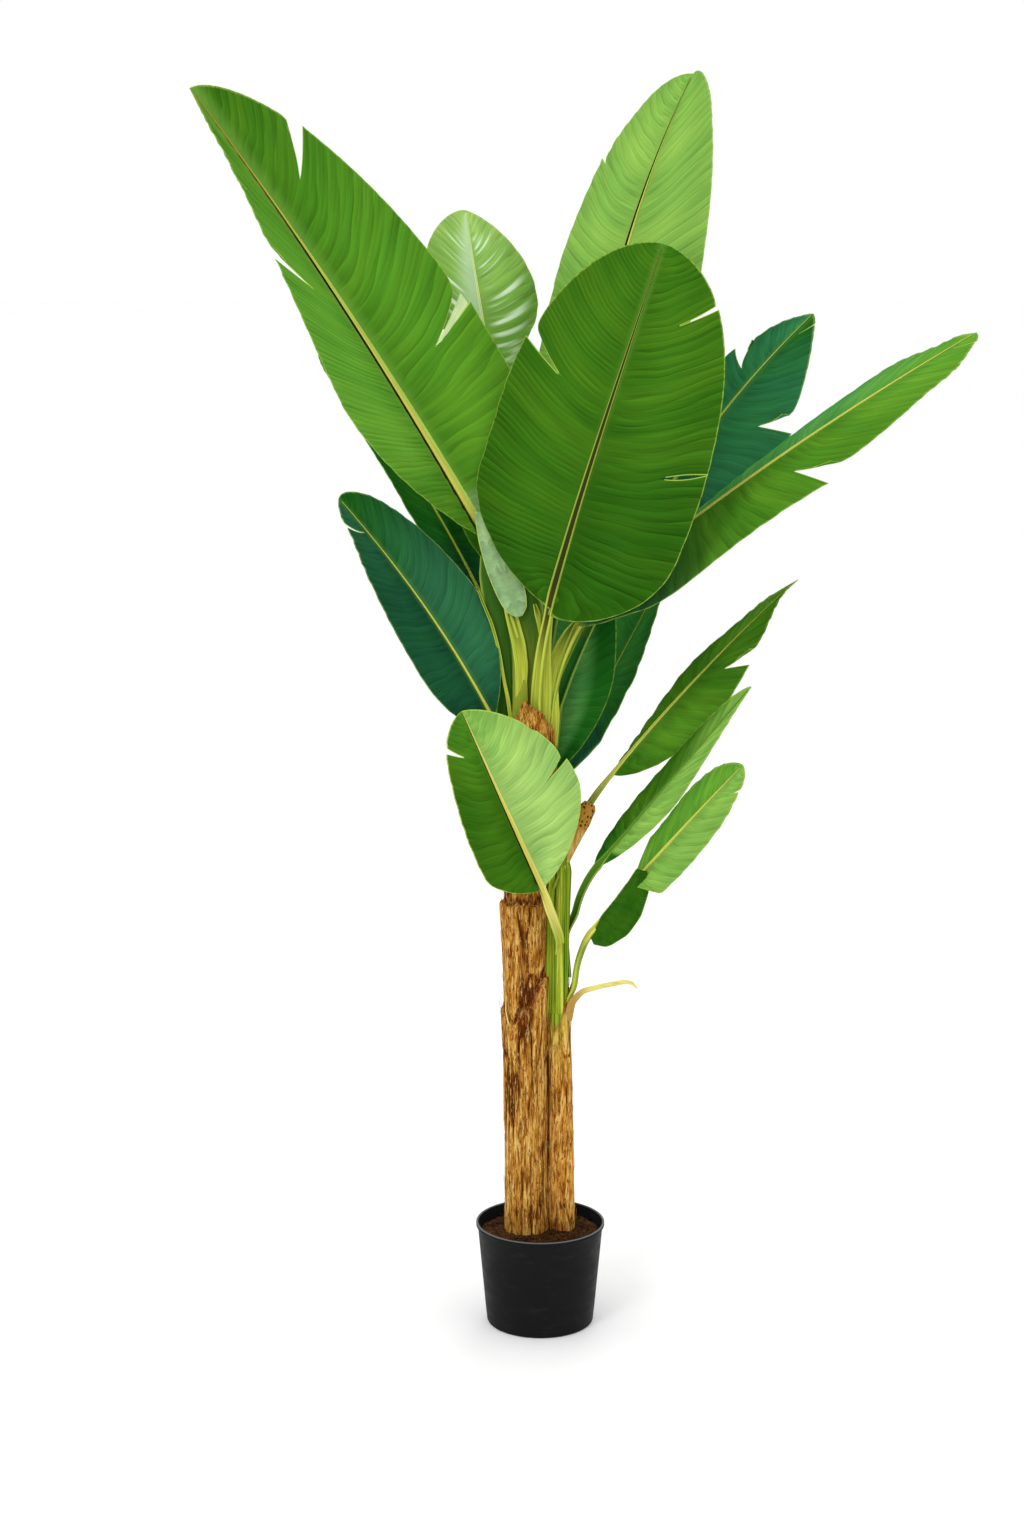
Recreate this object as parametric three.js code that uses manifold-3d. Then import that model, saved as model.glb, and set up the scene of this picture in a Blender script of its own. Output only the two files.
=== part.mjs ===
// An artificial banana plant, about 1.8 m tall, in a black plastic nursery pot.
// Millimetres and degrees, +Z up. The origin is the centre of the pot's flat underside.
// +X is right and +Y is away, seen from the plant's front. A heading turns from +X towards +Y.
import * as THREE from "three";
import { mergeVertices } from "three/addons/utils/BufferGeometryUtils.js";
import Module from "manifold-3d";

const wasm = await Module();
wasm.setup();

// Driving dimensions
const GAP = 0.3; // air between two pieces that touch
const POT = {
  height: 153, top: 94.5, base: 78.5,
  wall: 2.4, floor: 3, rim: 5.5, lip: 2, edge: 1, round: 4,
  sides: 40,
};
const FILL_TOP = 138;
const STEM_FOOT = FILL_TOP + GAP;
// A stem's rings: height, radius, and how far its middle stands right of the pot's axis
const MAIN_STEM = {
  sides: 20,
  rings: [
    [STEM_FOOT, 33, -19.5],
    [190, 32.2, -20],
    [440, 31.6, -22.7],
    [590, 33, -24.5],
    [636, 35, -25],
    [640, 30.5, -24.5],
    [760, 30.5, -18.5],
    [840, 32.3, -14.7],
    [870, 33, -14],
  ],
};
const SIDE_STEM = {
  sides: 16,
  rings: [
    [STEM_FOOT, 18.6, 32.4],
    [300, 18, 30],
    [440, 17.6, 28],
    [472, 18, 27.4],
    [475, 14.5, 27],
    [600, 13.5, 29],
    [700, 12, 34],
  ],
};
const CROWN = { middle: [-14, 0], height: 870, ring: 24 };
const CROWN_SHEATH = {
  from: -145, to: -12, peakAt: -95,
  foot: 842, low: 892, peak: 938, fall: 1.4,
  flare: 15, thick: 3,
  around: 12, upwards: 4,
};
const STUB = {
  root: [39, -4.5], foot: SIDE_STEM.rings.at(-1)[0] + GAP, end: [70, -5, 783],
  radii: [6, 8.5, 10.5, 9.5], flat: 0.8, sides: 12,
  lean: 28, hollow: 8, // its end leans this far, and its line hangs this far below a straight one
};
const DRY_STRIP = {
  path: [[41, -8, 487], [62, -11, 505], [90, -13, 514], [120, -13, 521], [132, -12, 519], [139, -12, 511]],
  width: [5, 10, 9, 7, 5, 2],
  thick: 3,
  sides: 8,
};

// Shape shared by every leaf blade
const BLADE = {
  thickness: 0.0105, // share of the blade's length
  curl: -20, // further turn of a half from rib to margin
  sweep: 0.8, // how far the veins run on towards the tip
  narrow: 0.02, // where along the margin's outline the foot row starts
  across: [0, 0.08, 0.5, 1], // columns from rib to margin
  nearestFirst: 1.5, // least distance of the first column from the rib, where the half is narrow
  farthestFirst: 0.4, // and the share out to which it may move for that
  insideFit: 0.9, // share of the room inside the fold that the thickness may fill
  tornColumn: 2, // a tear runs in from the margin to this column
  veinBend: 1.5, // a vein near the foot runs straighter out than one near the tip
  veinCurve: 1.6, // each vein leaves the rib square and turns on to the margin
  lobeFade: 4,
  rowEvery: 52,
  rows: [7, 13],
  bendSteps: 12,
  roughness: 0.45,
};
const STALK = { sides: 7, stepEvery: 36, sunk: 0.07, fewest: 4 };
const RIB_STEP = 4;

// A leaf's root on the ring where the stalks leave the top of the main stem
function crownRoot(bearing) {
  const turn = THREE.MathUtils.degToRad(bearing);
  return [
    CROWN.middle[0] + CROWN.ring * Math.cos(turn),
    CROWN.middle[1] + CROWN.ring * Math.sin(turn),
    CROWN.height + GAP,
  ];
}

// A leaf's root against the side of a stem, at a height and a bearing round it, its middle this far off
function stemRoot(stem, height, bearing, standOff) {
  const above = stem.rings.findIndex((ring) => ring[0] > height);
  const [low, high] = [stem.rings[above - 1], stem.rings[above]];
  const share = (height - low[0]) / (high[0] - low[0]);
  const radius = THREE.MathUtils.lerp(low[1], high[1], share) + standOff;
  const middle = THREE.MathUtils.lerp(low[2], high[2], share);
  const turn = THREE.MathUtils.degToRad(bearing);
  return [middle + radius * Math.cos(turn), radius * Math.sin(turn), height];
}

// Each leaf: heading and climb at its root, foot and tip, the blade's roll about its rib at foot and tip,
// and for each half its width, its fold up from the rib at foot and tip, and its outline.
const LEAVES = {
  leaf_high_left: {
    standsOnStem: true,
    root: crownRoot(-140), radii: [7.5, 6], stalk: 307, blade: 743, colour: 0x4c9420,
    heading: [114, 164, 173], climb: [99, 59, 53], roll: [-51, -46],
    left: { width: 152, fold: [48, 39], widest: 0.32, tip: 0.2, foot: 0.54, lobe: 0 },
    right: { width: 153, fold: [44, 25], widest: 0.33, tip: 0.8, foot: 0.85, lobe: 85 },
    tears: [
      { side: "left", at: 0.5, open: 12, flare: 4 },
      { side: "right", at: 0.69, open: 16, flare: 4 },
      { side: "right", at: 0.32, open: 14, flare: 5 },
    ],
  },
  leaf_back_small: {
    standsOnStem: true,
    root: crownRoot(125), radii: [6.5, 4], stalk: 433, blade: 347, colour: 0x9acb7c,
    heading: [92, 126, 102], climb: [80, 76, 59], roll: [41, 15],
    left: { width: 104, fold: [8, 14], widest: 0.53, tip: 0.64, foot: 0.52, lobe: 0 },
    right: { width: 117, fold: [-24, 65], widest: 0.56, tip: 0.2, foot: 0.4, lobe: 0 },
    tears: [],
  },
  leaf_high_right: {
    standsOnStem: true,
    root: crownRoot(80), radii: [7.5, 5.5], stalk: 435, blade: 578, colour: 0x7fb956,
    heading: [-10, 61, 45], climb: [84, 72, 54], roll: [1, -12],
    left: { width: 139, fold: [-9, 20], widest: 0.38, tip: 1, foot: 0.8, lobe: 14 },
    right: { width: 139, fold: [-1, 22], widest: 0.46, tip: 0.78, foot: 0.8, lobe: 6 },
    tears: [{ side: "left", at: 0.34, open: 6, flare: 2 }],
  },
  leaf_front: {
    standsOnStem: true,
    root: crownRoot(-70), radii: [7.5, 5.5], stalk: 232, blade: 500, colour: 0x3a7a12,
    heading: [-112, -24, 17], climb: [75, 74, 71], roll: [66, 49],
    left: { width: 169, fold: [23, 9], widest: 0.28, tip: 0.93, foot: 0.5, lobe: 22 },
    right: { width: 176, fold: [3, 3], widest: 0.27, tip: 1, foot: 0.57, lobe: 16 },
    tears: [
      { side: "right", at: 0.75, open: 4, flare: 2 },
      { side: "left", at: 0.52, open: 8, flare: 3 },
    ],
  },
  leaf_right_back: {
    standsOnStem: true,
    root: crownRoot(40), radii: [6.5, 5], stalk: 388, blade: 384, colour: 0x2c6330,
    heading: [5, 39, 33], climb: [74, 48, 36], roll: [40, 2],
    left: { width: 104, fold: [-22, 25], widest: 0.36, tip: 0.5, foot: 0.8, lobe: 12 },
    right: { width: 106, fold: [9, -6], widest: 0.39, tip: 0.4, foot: 0.8, lobe: 9 },
    tears: [
      { side: "left", at: 0.61, open: 16, flare: 4 },
      { side: "right", at: 0.39, open: 14, flare: 8 },
    ],
  },
  leaf_far_right: {
    standsOnStem: true,
    root: crownRoot(-10), radii: [7, 5.5], stalk: 297, blade: 570, colour: 0x4f8f35,
    heading: [-55, -6, 3], climb: [89, 39, 30], roll: [25, 14],
    left: { width: 110, fold: [-24, 15], widest: 0.47, tip: 0.26, foot: 0.8, lobe: 5 },
    right: { width: 104, fold: [2, -1], widest: 0.26, tip: 1, foot: 1, lobe: 120 },
    tears: [{ side: "right", at: 0.42, open: 14, flare: 16 }],
  },
  leaf_left_low: {
    root: stemRoot(MAIN_STEM, 800, 205, 5), radii: [5.5, 4.5], stalk: 112, blade: 391, colour: 0x2b5f30,
    heading: [248, 183, 212], climb: [95, 63, 47], roll: [-63, -54],
    left: { width: 80, fold: [21, 15], widest: 0.38, tip: 1, foot: 0.82, lobe: 12 },
    right: { width: 80, fold: [42, 0], widest: 0.44, tip: 1, foot: 0.4, lobe: 0 },
    tears: [{ side: "left", at: 0.84, open: 6, flare: 2 }],
  },
  leaf_left_back: {
    standsOnStem: true,
    root: crownRoot(170), radii: [6, 4.5], stalk: 235, blade: 462, colour: 0x33692f,
    heading: [111, 128, 145], climb: [77, 49, 40], roll: [13, 5],
    left: { width: 71, fold: [13, 15], widest: 0.38, tip: 0.77, foot: 0.82, lobe: 11 },
    right: { width: 70, fold: [-2, 11], widest: 0.47, tip: 0.8, foot: 0.69, lobe: 6 },
    tears: [],
  },
  leaf_right_low_near: {
    root: stemRoot(MAIN_STEM, 760, 35, 5.6), radii: [5.5, 4.5], stalk: 77, blade: 340, colour: 0x3f8038,
    heading: [62, 56, 47], climb: [72, 80, 64], roll: [13, 13],
    left: { width: 70, fold: [12, 12], widest: 0.42, tip: 0.8, foot: 0.8, lobe: 10 },
    right: { width: 74, fold: [12, 13], widest: 0.42, tip: 0.5, foot: 0.5, lobe: 14 },
    tears: [],
  },
  leaf_right_low_back: {
    root: stemRoot(MAIN_STEM, 800, 60, 2.1), radii: [5.5, 4.5], stalk: 97, blade: 437, colour: 0x2a5c27,
    heading: [54, 51, 40], climb: [15, 46, 54], roll: [-13, -16],
    left: { width: 78, fold: [12, 12], widest: 0.42, tip: 0.8, foot: 0.8, lobe: 10 },
    right: { width: 78, fold: [19, 23], widest: 0.4, tip: 0.1, foot: 0.5, lobe: 0 },
    tears: [{ side: "right", at: 0.12, open: 3, flare: 22 }],
  },
  leaf_front_low: {
    root: stemRoot(SIDE_STEM, 565, -100, 5.4), radii: [5.5, 4.5], stalk: 118, blade: 283, colour: 0x6fae48,
    heading: [-80, -167, -176], climb: [60, 66, 67], roll: [-76, -55],
    left: { width: 109, fold: [45, 20], widest: 0.26, tip: 1, foot: 0.4, lobe: 0 },
    right: { width: 110, fold: [39, 13], widest: 0.4, tip: 0.71, foot: 0.4, lobe: 0 },
    tears: [
      { side: "right", at: 0.43, open: 6, flare: 2 },
      { side: "left", at: 0.75, open: 6, flare: 3 },
    ],
  },
  leaf_side_high: {
    standsOnStem: true,
    root: [29.5, 5, SIDE_STEM.rings.at(-1)[0] + GAP], radii: [5, 4], stalk: 141, blade: 393, colour: 0x4e8f37,
    heading: [22, 19, 16], climb: [67, 47, 40], roll: [13, 14],
    left: { width: 76, fold: [-30, 34], widest: 0.27, tip: 0, foot: 0.84, lobe: 0 },
    right: { width: 76, fold: [-27, 47], widest: 0.46, tip: 0.34, foot: 0.64, lobe: 0 },
    tears: [{ side: "right", at: 0.5, open: 12, flare: 5 }],
  },
  leaf_side_mid: {
    root: stemRoot(SIDE_STEM, 570, 0, 5.6), radii: [5, 4], stalk: 130, blade: 343, colour: 0x5a9c3c,
    heading: [-40, -5, -12], climb: [97, 51, 51], roll: [54, 50],
    left: { width: 40, fold: [-5, 14], widest: 0.37, tip: 0.71, foot: 0.77, lobe: 7 },
    right: { width: 42, fold: [-7, 13], widest: 0.43, tip: 0.1, foot: 0.55, lobe: 0 },
    tears: [],
  },
  leaf_side_low: {
    root: stemRoot(SIDE_STEM, 505, -5, 4.9), radii: [5, 4], stalk: 102, blade: 363, colour: 0x4f9a34,
    heading: [-73, -42, -20], climb: [83, 49, 48], roll: [46, 46],
    left: { width: 61, fold: [0, 11], widest: 0.48, tip: 0.78, foot: 0.77, lobe: 0 },
    right: { width: 62, fold: [9, 1], widest: 0.56, tip: 1, foot: 1, lobe: 68 },
    tears: [],
  },
  leaf_back_high: {
    standsOnStem: true,
    root: [CROWN.middle[0], CROWN.middle[1], CROWN.height + GAP], radii: [6, 5], stalk: 238, blade: 397,
    colour: 0x3c7a2a, heading: [100, 98, 96], climb: [84, 55, 5], roll: [-2, -3],
    left: { width: 88, fold: [18, 12], widest: 0.4, tip: 0.8, foot: 0.8, lobe: 10 },
    right: { width: 88, fold: [18, 12], widest: 0.4, tip: 0.8, foot: 0.8, lobe: 14 },
    tears: [{ side: "left", at: 0.55, open: 8, flare: 3 }],
  },
  leaf_back_low: {
    root: stemRoot(MAIN_STEM, 670, 100, 4.6), radii: [5.5, 4.5], stalk: 80, blade: 270, colour: 0x4a8b30,
    heading: [103, 105, 105], climb: [66, 56, 30], roll: [6, 6],
    left: { width: 62, fold: [16, 12], widest: 0.4, tip: 0.9, foot: 0.8, lobe: 6 },
    right: { width: 62, fold: [16, 12], widest: 0.4, tip: 0.8, foot: 0.8, lobe: 6 },
    tears: [],
  },
};

// Each finish is a colour and a roughness
const FINISH = {
  pot: [0x1b1b1b, 0.6],
  fill: [0x3a2415, 0.95],
  bark: [0x9a6b2c, 0.9],
  green: [0x8f9a3c, 0.7],
  straw: [0xcdb878, 0.9],
};

// A closed body from merged vertices, as a manifold solid
function solidOf(geometry) {
  const bare = geometry.clone();
  bare.deleteAttribute("normal");
  bare.deleteAttribute("uv");
  const merged = mergeVertices(bare, 1e-3);
  return new wasm.Manifold(
    new wasm.Mesh({
      numProp: 3,
      vertProperties: new Float32Array(merged.attributes.position.array),
      triVerts: new Uint32Array(merged.index.array),
    }),
  );
}

function geometryOf(solid) {
  const mesh = solid.getMesh();
  const geometry = new THREE.BufferGeometry();
  geometry.setAttribute("position", new THREE.BufferAttribute(mesh.vertProperties, mesh.numProp));
  geometry.setIndex(new THREE.BufferAttribute(mesh.triVerts, 1));
  return geometry;
}

function geometryFrom(points, triangles) {
  const geometry = new THREE.BufferGeometry();
  const places = points.flatMap((p) => [p.x, p.y, p.z]);
  geometry.setAttribute("position", new THREE.Float32BufferAttribute(places, 3));
  geometry.setIndex(triangles.flat());
  return geometry;
}

// A closed body through rings of equal count, each given anticlockwise seen from its far end
function loft(rings) {
  const count = rings[0].length;
  const points = rings.flat();
  const triangles = [];
  for (let i = 0; i + 1 < rings.length; i++) {
    for (let j = 0; j < count; j++) {
      const a = i * count + j;
      const b = i * count + ((j + 1) % count);
      triangles.push([a, b, b + count], [a, b + count, a + count]);
    }
  }
  const last = (rings.length - 1) * count;
  for (let j = 1; j + 1 < count; j++) {
    triangles.push([0, j + 1, j], [last, last + j, last + j + 1]);
  }
  return geometryFrom(points, triangles);
}

// A flat or round ring across a path: middle, direction of travel, side vector, half sizes
function ringAcross(middle, travel, side, halfSide, halfUp, count) {
  const up = new THREE.Vector3().crossVectors(travel, side).normalize();
  return Array.from({ length: count }, (_, k) => {
    const turn = (2 * Math.PI * k) / count;
    return middle
      .clone()
      .addScaledVector(side, halfSide * Math.cos(turn))
      .addScaledVector(up, halfUp * Math.sin(turn));
  });
}

// A tube along points, with a side vector carried on from ring to ring so that it doesn't twist.
// A level foot is cut to stand on the flat top of a stem.
function tube(points, halfSides, halfUps, count, firstSide, levelFoot = false) {
  let side = firstSide.clone();
  const rings = points.map((point, i) => {
    const before = points[Math.max(i - 1, 0)];
    const after = points[Math.min(i + 1, points.length - 1)];
    const travel = after.clone().sub(before).normalize();
    side.addScaledVector(travel, -side.dot(travel)).normalize();
    side = side.clone();
    return ringAcross(point, travel, side, halfSides[i], halfUps[i], count);
  });
  if (levelFoot) {
    const travel = points[1].clone().sub(points[0]).normalize();
    for (const p of rings[0]) p.addScaledVector(travel, (points[0].z - p.z) / travel.z);
  }
  return loft(rings);
}

// A sheet of triangles made a closed body: up and down by the given thicknesses at each point
function thicken(points, triangles, up, down) {
  const normals = points.map(() => new THREE.Vector3());
  const [ab, ac] = [new THREE.Vector3(), new THREE.Vector3()];
  for (const [a, b, c] of triangles) {
    ab.subVectors(points[b], points[a]);
    ac.subVectors(points[c], points[a]);
    const face = new THREE.Vector3().crossVectors(ab, ac);
    for (const corner of [a, b, c]) normals[corner].add(face);
  }
  normals.forEach((normal) => normal.normalize());
  const top = points.map((p, i) => p.clone().addScaledVector(normals[i], up[i]));
  const bottom = points.map((p, i) => p.clone().addScaledVector(normals[i], -down[i]));
  const count = points.length;
  const faces = [...triangles];
  const edges = new Map();
  for (const [a, b, c] of triangles) {
    faces.push([a + count, c + count, b + count]);
    for (const [from, to] of [[a, b], [b, c], [c, a]]) edges.set(from + "_" + to, [from, to]);
  }
  for (const [from, to] of edges.values()) {
    if (edges.has(to + "_" + from)) continue;
    faces.push([to, from, from + count], [to, from + count, to + count]);
  }
  return geometryFrom([...top, ...bottom], faces);
}

function directionOf(heading, climb) {
  const [h, c] = [heading, climb].map(THREE.MathUtils.degToRad);
  return new THREE.Vector3(Math.cos(c) * Math.cos(h), Math.cos(c) * Math.sin(h), Math.sin(c));
}

// The leaf's middle line: heading and climb change evenly from root to foot and from foot to tip
class Rib {
  constructor(leaf) {
    this.leaf = leaf;
    const stalkSteps = Math.ceil(leaf.stalk / RIB_STEP);
    const bladeSteps = Math.ceil(leaf.blade / RIB_STEP);
    this.along = [];
    for (let i = 0; i < stalkSteps; i++) this.along.push(-leaf.stalk + (i * leaf.stalk) / stalkSteps);
    for (let i = 0; i <= bladeSteps; i++) this.along.push((i * leaf.blade) / bladeSteps);
    this.points = [new THREE.Vector3(...leaf.root)];
    for (let i = 1; i < this.along.length; i++) {
      const [a, b] = [this.along[i - 1], this.along[i]];
      const travel = this.directionAt(a).add(this.directionAt(b)).multiplyScalar((b - a) / 2);
      this.points.push(this.points[i - 1].clone().add(travel));
    }
  }

  anglesAt(s) {
    const { stalk, blade, heading, climb } = this.leaf;
    const first = s < 0 ? 0 : 1;
    const share = s < 0 ? (s + stalk) / stalk : s / blade;
    return [heading, climb].map((turn) => turn[first] + (turn[first + 1] - turn[first]) * share);
  }

  directionAt(s) {
    return directionOf(...this.anglesAt(s));
  }

  pointAt(s) {
    const held = THREE.MathUtils.clamp(s, this.along[0], this.along.at(-1));
    let i = this.along.findIndex((value) => value >= held);
    i = Math.max(i, 1);
    const share = (held - this.along[i - 1]) / (this.along[i] - this.along[i - 1]);
    return this.points[i - 1].clone().lerp(this.points[i], share);
  }
}

// How wide an outline is at q, from 0 at the foot to 1 at the tip
function spanAt(q, half) {
  const place = THREE.MathUtils.clamp(q, 0, 1);
  if (place < half.widest) {
    const x = (half.widest - place) / half.widest;
    return (1 - x ** (1 + 1.5 * half.foot)) ** (1 - 0.5 * half.foot);
  }
  const x = (place - half.widest) / (1 - half.widest);
  return Math.max(0, 1 - x ** (1 + 1.5 * half.tip)) ** (1 - 0.5 * half.tip);
}

// Where a vein of this half meets the margin: how far along the leaf, and how far out from the rib
function marginAt(leaf, half, vein, width) {
  const length = leaf.blade;
  const run = BLADE.sweep * vein ** BLADE.veinBend * (1 - vein) * length;
  const atMargin = vein * length + run - half.lobe * (1 - vein) ** BLADE.lobeFade;
  const q = BLADE.narrow + ((1 - BLADE.narrow) * (atMargin + half.lobe)) / (length + half.lobe);
  return { atMargin, reach: width * spanAt(q, half) };
}

function foldAt(half, vein) {
  return THREE.MathUtils.lerp(half.fold[0], half.fold[1], vein);
}

// The blade's middle surface at vein v, from foot to tip, and share u of the way from rib to margin.
// Beside a tear, bank is -1 on its foot side and 1 on its tip side.
function bladePoint(leaf, rib, sideName, v, u, tear, bank) {
  const half = leaf[sideName];
  const length = leaf.blade;
  let vein = v;
  let width = half.width;
  if (tear) {
    const inward = BLADE.across[BLADE.tornColumn];
    const opened = Math.max(0, (u - inward) / (1 - inward));
    vein += (bank * opened * tear.open) / (2 * length);
    if (bank < 0) width += tear.flare;
  }
  const atRib = vein * length;
  const { atMargin, reach } = marginAt(leaf, half, vein, width);
  const s = atRib + (atMargin - atRib) * u ** BLADE.veinCurve;
  const [heading, climb] = rib.anglesAt(s);
  const travel = directionOf(heading, climb);
  const turn = THREE.MathUtils.degToRad(heading);
  const level = new THREE.Vector3(-Math.sin(turn), Math.cos(turn), 0);
  const upper = new THREE.Vector3().crossVectors(travel, level);
  const share = THREE.MathUtils.clamp(s / length, 0, 1);
  const roll = THREE.MathUtils.degToRad(THREE.MathUtils.lerp(leaf.roll[0], leaf.roll[1], share));
  const side = level.clone().multiplyScalar(Math.cos(roll)).addScaledVector(upper, Math.sin(roll));
  const normal = upper.multiplyScalar(Math.cos(roll)).addScaledVector(level, -Math.sin(roll));
  const fold = foldAt(half, vein);
  const step = (reach * u) / BLADE.bendSteps;
  let [out, lift] = [0, 0];
  for (let i = 0; i < BLADE.bendSteps; i++) {
    const angle = THREE.MathUtils.degToRad(fold + (BLADE.curl * (i + 0.5) * step) / half.width);
    out += Math.cos(angle) * step;
    lift += Math.sin(angle) * step;
  }
  const sign = sideName === "left" ? 1 : -1;
  return rib.pointAt(s).addScaledVector(side, sign * out).addScaledVector(normal, lift);
}

// Rows from foot to tip, with the nearest row moved onto each tear
function rowsOf(leaf) {
  const count = THREE.MathUtils.clamp(Math.round(leaf.blade / BLADE.rowEvery), ...BLADE.rows);
  const rows = Array.from({ length: count + 1 }, (_, i) => i / count);
  for (const tear of leaf.tears) rows[Math.round(tear.at * count)] = tear.at;
  return rows;
}

function bladeBody(leaf, rib) {
  const rows = rowsOf(leaf);
  const points = [];
  const ribIndex = rows.map((v) => points.push(rib.pointAt(v * leaf.blade)) - 1);
  const triangles = [];
  const columns = BLADE.across.length;
  const halfThick = (BLADE.thickness * leaf.blade) / 2;
  const up = points.map(() => halfThick);
  const down = rows.map((v) => halfThick + leaf.radii[1] * (1 - v));
  // How steeply both halves rise from the rib, so that their insides can be kept apart there
  const slopeAt = (v) =>
    Math.tan(THREE.MathUtils.degToRad((foldAt(leaf.left, v) + foldAt(leaf.right, v)) / 2));
  for (const sideName of ["left", "right"]) {
    const half = leaf[sideName];
    const made = new Map();
    const indexOf = (i, j, bank) => {
      if (j === 0) return ribIndex[i];
      if (i === rows.length - 1) return ribIndex[i];
      const tear = leaf.tears.find((t) => t.side === sideName && t.at === rows[i]);
      const torn = tear && j > BLADE.tornColumn;
      const key = [i, j, torn ? bank : 0].join("_");
      if (!made.has(key)) {
        const slope = slopeAt(rows[i]);
        const { reach } = marginAt(leaf, half, rows[i], half.width);
        const clear = Math.max(halfThick * Math.abs(slope), BLADE.nearestFirst);
        const share = Math.max(BLADE.across[j], Math.min(clear / reach, BLADE.farthestFirst));
        const room = (BLADE.insideFit * reach * share) / Math.abs(slope);
        made.set(key, points.push(bladePoint(leaf, rib, sideName, rows[i], share, tear, bank)) - 1);
        up.push(slope > 0 ? Math.min(halfThick, room) : halfThick);
        down.push(slope < 0 ? Math.min(halfThick, room) : halfThick);
      }
      return made.get(key);
    };
    for (let i = 0; i + 1 < rows.length; i++) {
      for (let j = 0; j + 1 < columns; j++) {
        const [a, b] = [indexOf(i, j, 1), indexOf(i + 1, j, -1)];
        const [c, d] = [indexOf(i + 1, j + 1, -1), indexOf(i, j + 1, 1)];
        for (const face of [[a, b, c], [a, c, d]]) {
          if (new Set(face).size < 3) continue;
          triangles.push(sideName === "left" ? face : face.reverse());
        }
      }
    }
  }
  return thicken(points, triangles, up, down);
}

function stalkBody(leaf, rib) {
  const end = STALK.sunk * leaf.blade;
  const count = Math.max(STALK.fewest, Math.ceil((leaf.stalk + end) / STALK.stepEvery));
  const places = Array.from({ length: count + 1 }, (_, i) => -leaf.stalk + (i * (leaf.stalk + end)) / count);
  const radii = places.map((s) => {
    const share = THREE.MathUtils.clamp((s + leaf.stalk) / leaf.stalk, 0, 1);
    const radius = THREE.MathUtils.lerp(leaf.radii[0], leaf.radii[1], share);
    return s > 0 ? radius * (1 - (0.5 * s) / end) : radius;
  });
  const points = places.map((s) => rib.pointAt(s));
  return tube(points, radii, radii, STALK.sides, new THREE.Vector3(1, 0, 0), leaf.standsOnStem);
}

function leafGeometry(leaf) {
  const rib = new Rib(leaf);
  return geometryOf(solidOf(bladeBody(leaf, rib)).add(solidOf(stalkBody(leaf, rib))));
}

function stemGeometry(stem) {
  const rings = stem.rings.map(([height, radius, middle]) =>
    Array.from({ length: stem.sides }, (_, k) => {
      const turn = (2 * Math.PI * k) / stem.sides;
      return new THREE.Vector3(middle + radius * Math.cos(turn), radius * Math.sin(turn), height);
    }),
  );
  return loft(rings);
}

// A profile of radius and height turned about the pot's axis, which three.js turns about +Y
function turned(profile) {
  const points = profile.map(([radius, height]) => new THREE.Vector2(radius, height));
  return new THREE.LatheGeometry(points, POT.sides).rotateX(Math.PI / 2);
}

// The pot's outer radius at a height
function potRadius(height) {
  return THREE.MathUtils.lerp(POT.base, POT.top - POT.lip, height / POT.height);
}

function potGeometry() {
  const { height, top, wall, floor, rim, edge, round } = POT;
  return turned([
    [0, 0],
    [potRadius(0) - round, 0],
    [potRadius(round), round],
    [potRadius(height - rim), height - rim],
    [top, height - rim + edge],
    [top, height - edge],
    [top - edge, height],
    [top - wall - edge, height],
    [potRadius(height - rim) - wall, height - rim],
    [potRadius(floor + round) - wall, floor + round],
    [potRadius(floor) - wall - round, floor],
    [0, floor],
  ]);
}

function fillGeometry() {
  const { wall, floor, round } = POT;
  return turned([
    [0, floor + GAP],
    [potRadius(floor) - wall - round - GAP, floor + GAP],
    [potRadius(floor + round) - wall - 2 * GAP, floor + round],
    [potRadius(FILL_TOP) - wall - 2 * GAP, FILL_TOP],
    [0, FILL_TOP],
  ]);
}

// The torn brown sheath that wraps the front of the crown
function crownSheathGeometry() {
  const { from, to, foot, low, peak, peakAt, fall, flare, thick, around, upwards } = CROWN_SHEATH;
  const points = [];
  const triangles = [];
  for (let i = 0; i <= around; i++) {
    const bearing = THREE.MathUtils.lerp(from, to, i / around);
    const away = bearing < peakAt ? (peakAt - bearing) / (peakAt - from) : (bearing - peakAt) / (to - peakAt);
    const top = THREE.MathUtils.lerp(peak, low, away ** fall);
    const turn = THREE.MathUtils.degToRad(bearing);
    for (let j = 0; j <= upwards; j++) {
      const height = THREE.MathUtils.lerp(foot, top, j / upwards);
      const share = (height - foot) / (peak - foot);
      const radius = MAIN_STEM.rings.at(-1)[1] + 2 * GAP + thick / 2 + flare * share;
      const middle = CROWN.middle[0];
      points.push(new THREE.Vector3(middle + radius * Math.cos(turn), radius * Math.sin(turn), height));
    }
  }
  for (let i = 0; i < around; i++) {
    for (let j = 0; j < upwards; j++) {
      const a = i * (upwards + 1) + j;
      const b = a + upwards + 1;
      triangles.push([a, b, b + 1], [a, b + 1, a + 1]);
    }
  }
  const half = points.map(() => thick / 2);
  return thicken(points, triangles, half, half);
}

// The cut base of an old leaf that stands on the side stem
function stubGeometry() {
  const root = new THREE.Vector3(...STUB.root, STUB.foot);
  const end = new THREE.Vector3(...STUB.end);
  const steps = STUB.radii.length - 1;
  const rings = STUB.radii.map((radius, i) => {
    const share = i / steps;
    const middle = root.clone().lerp(end, share);
    middle.x -= STUB.hollow * share * (1 - share);
    const lean = THREE.MathUtils.degToRad(STUB.lean * share);
    const travel = new THREE.Vector3(Math.sin(lean), 0, Math.cos(lean));
    const side = new THREE.Vector3(Math.cos(lean), 0, -Math.sin(lean));
    return ringAcross(middle, travel, side, radius, radius * STUB.flat, STUB.sides);
  });
  return loft(rings);
}

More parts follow.
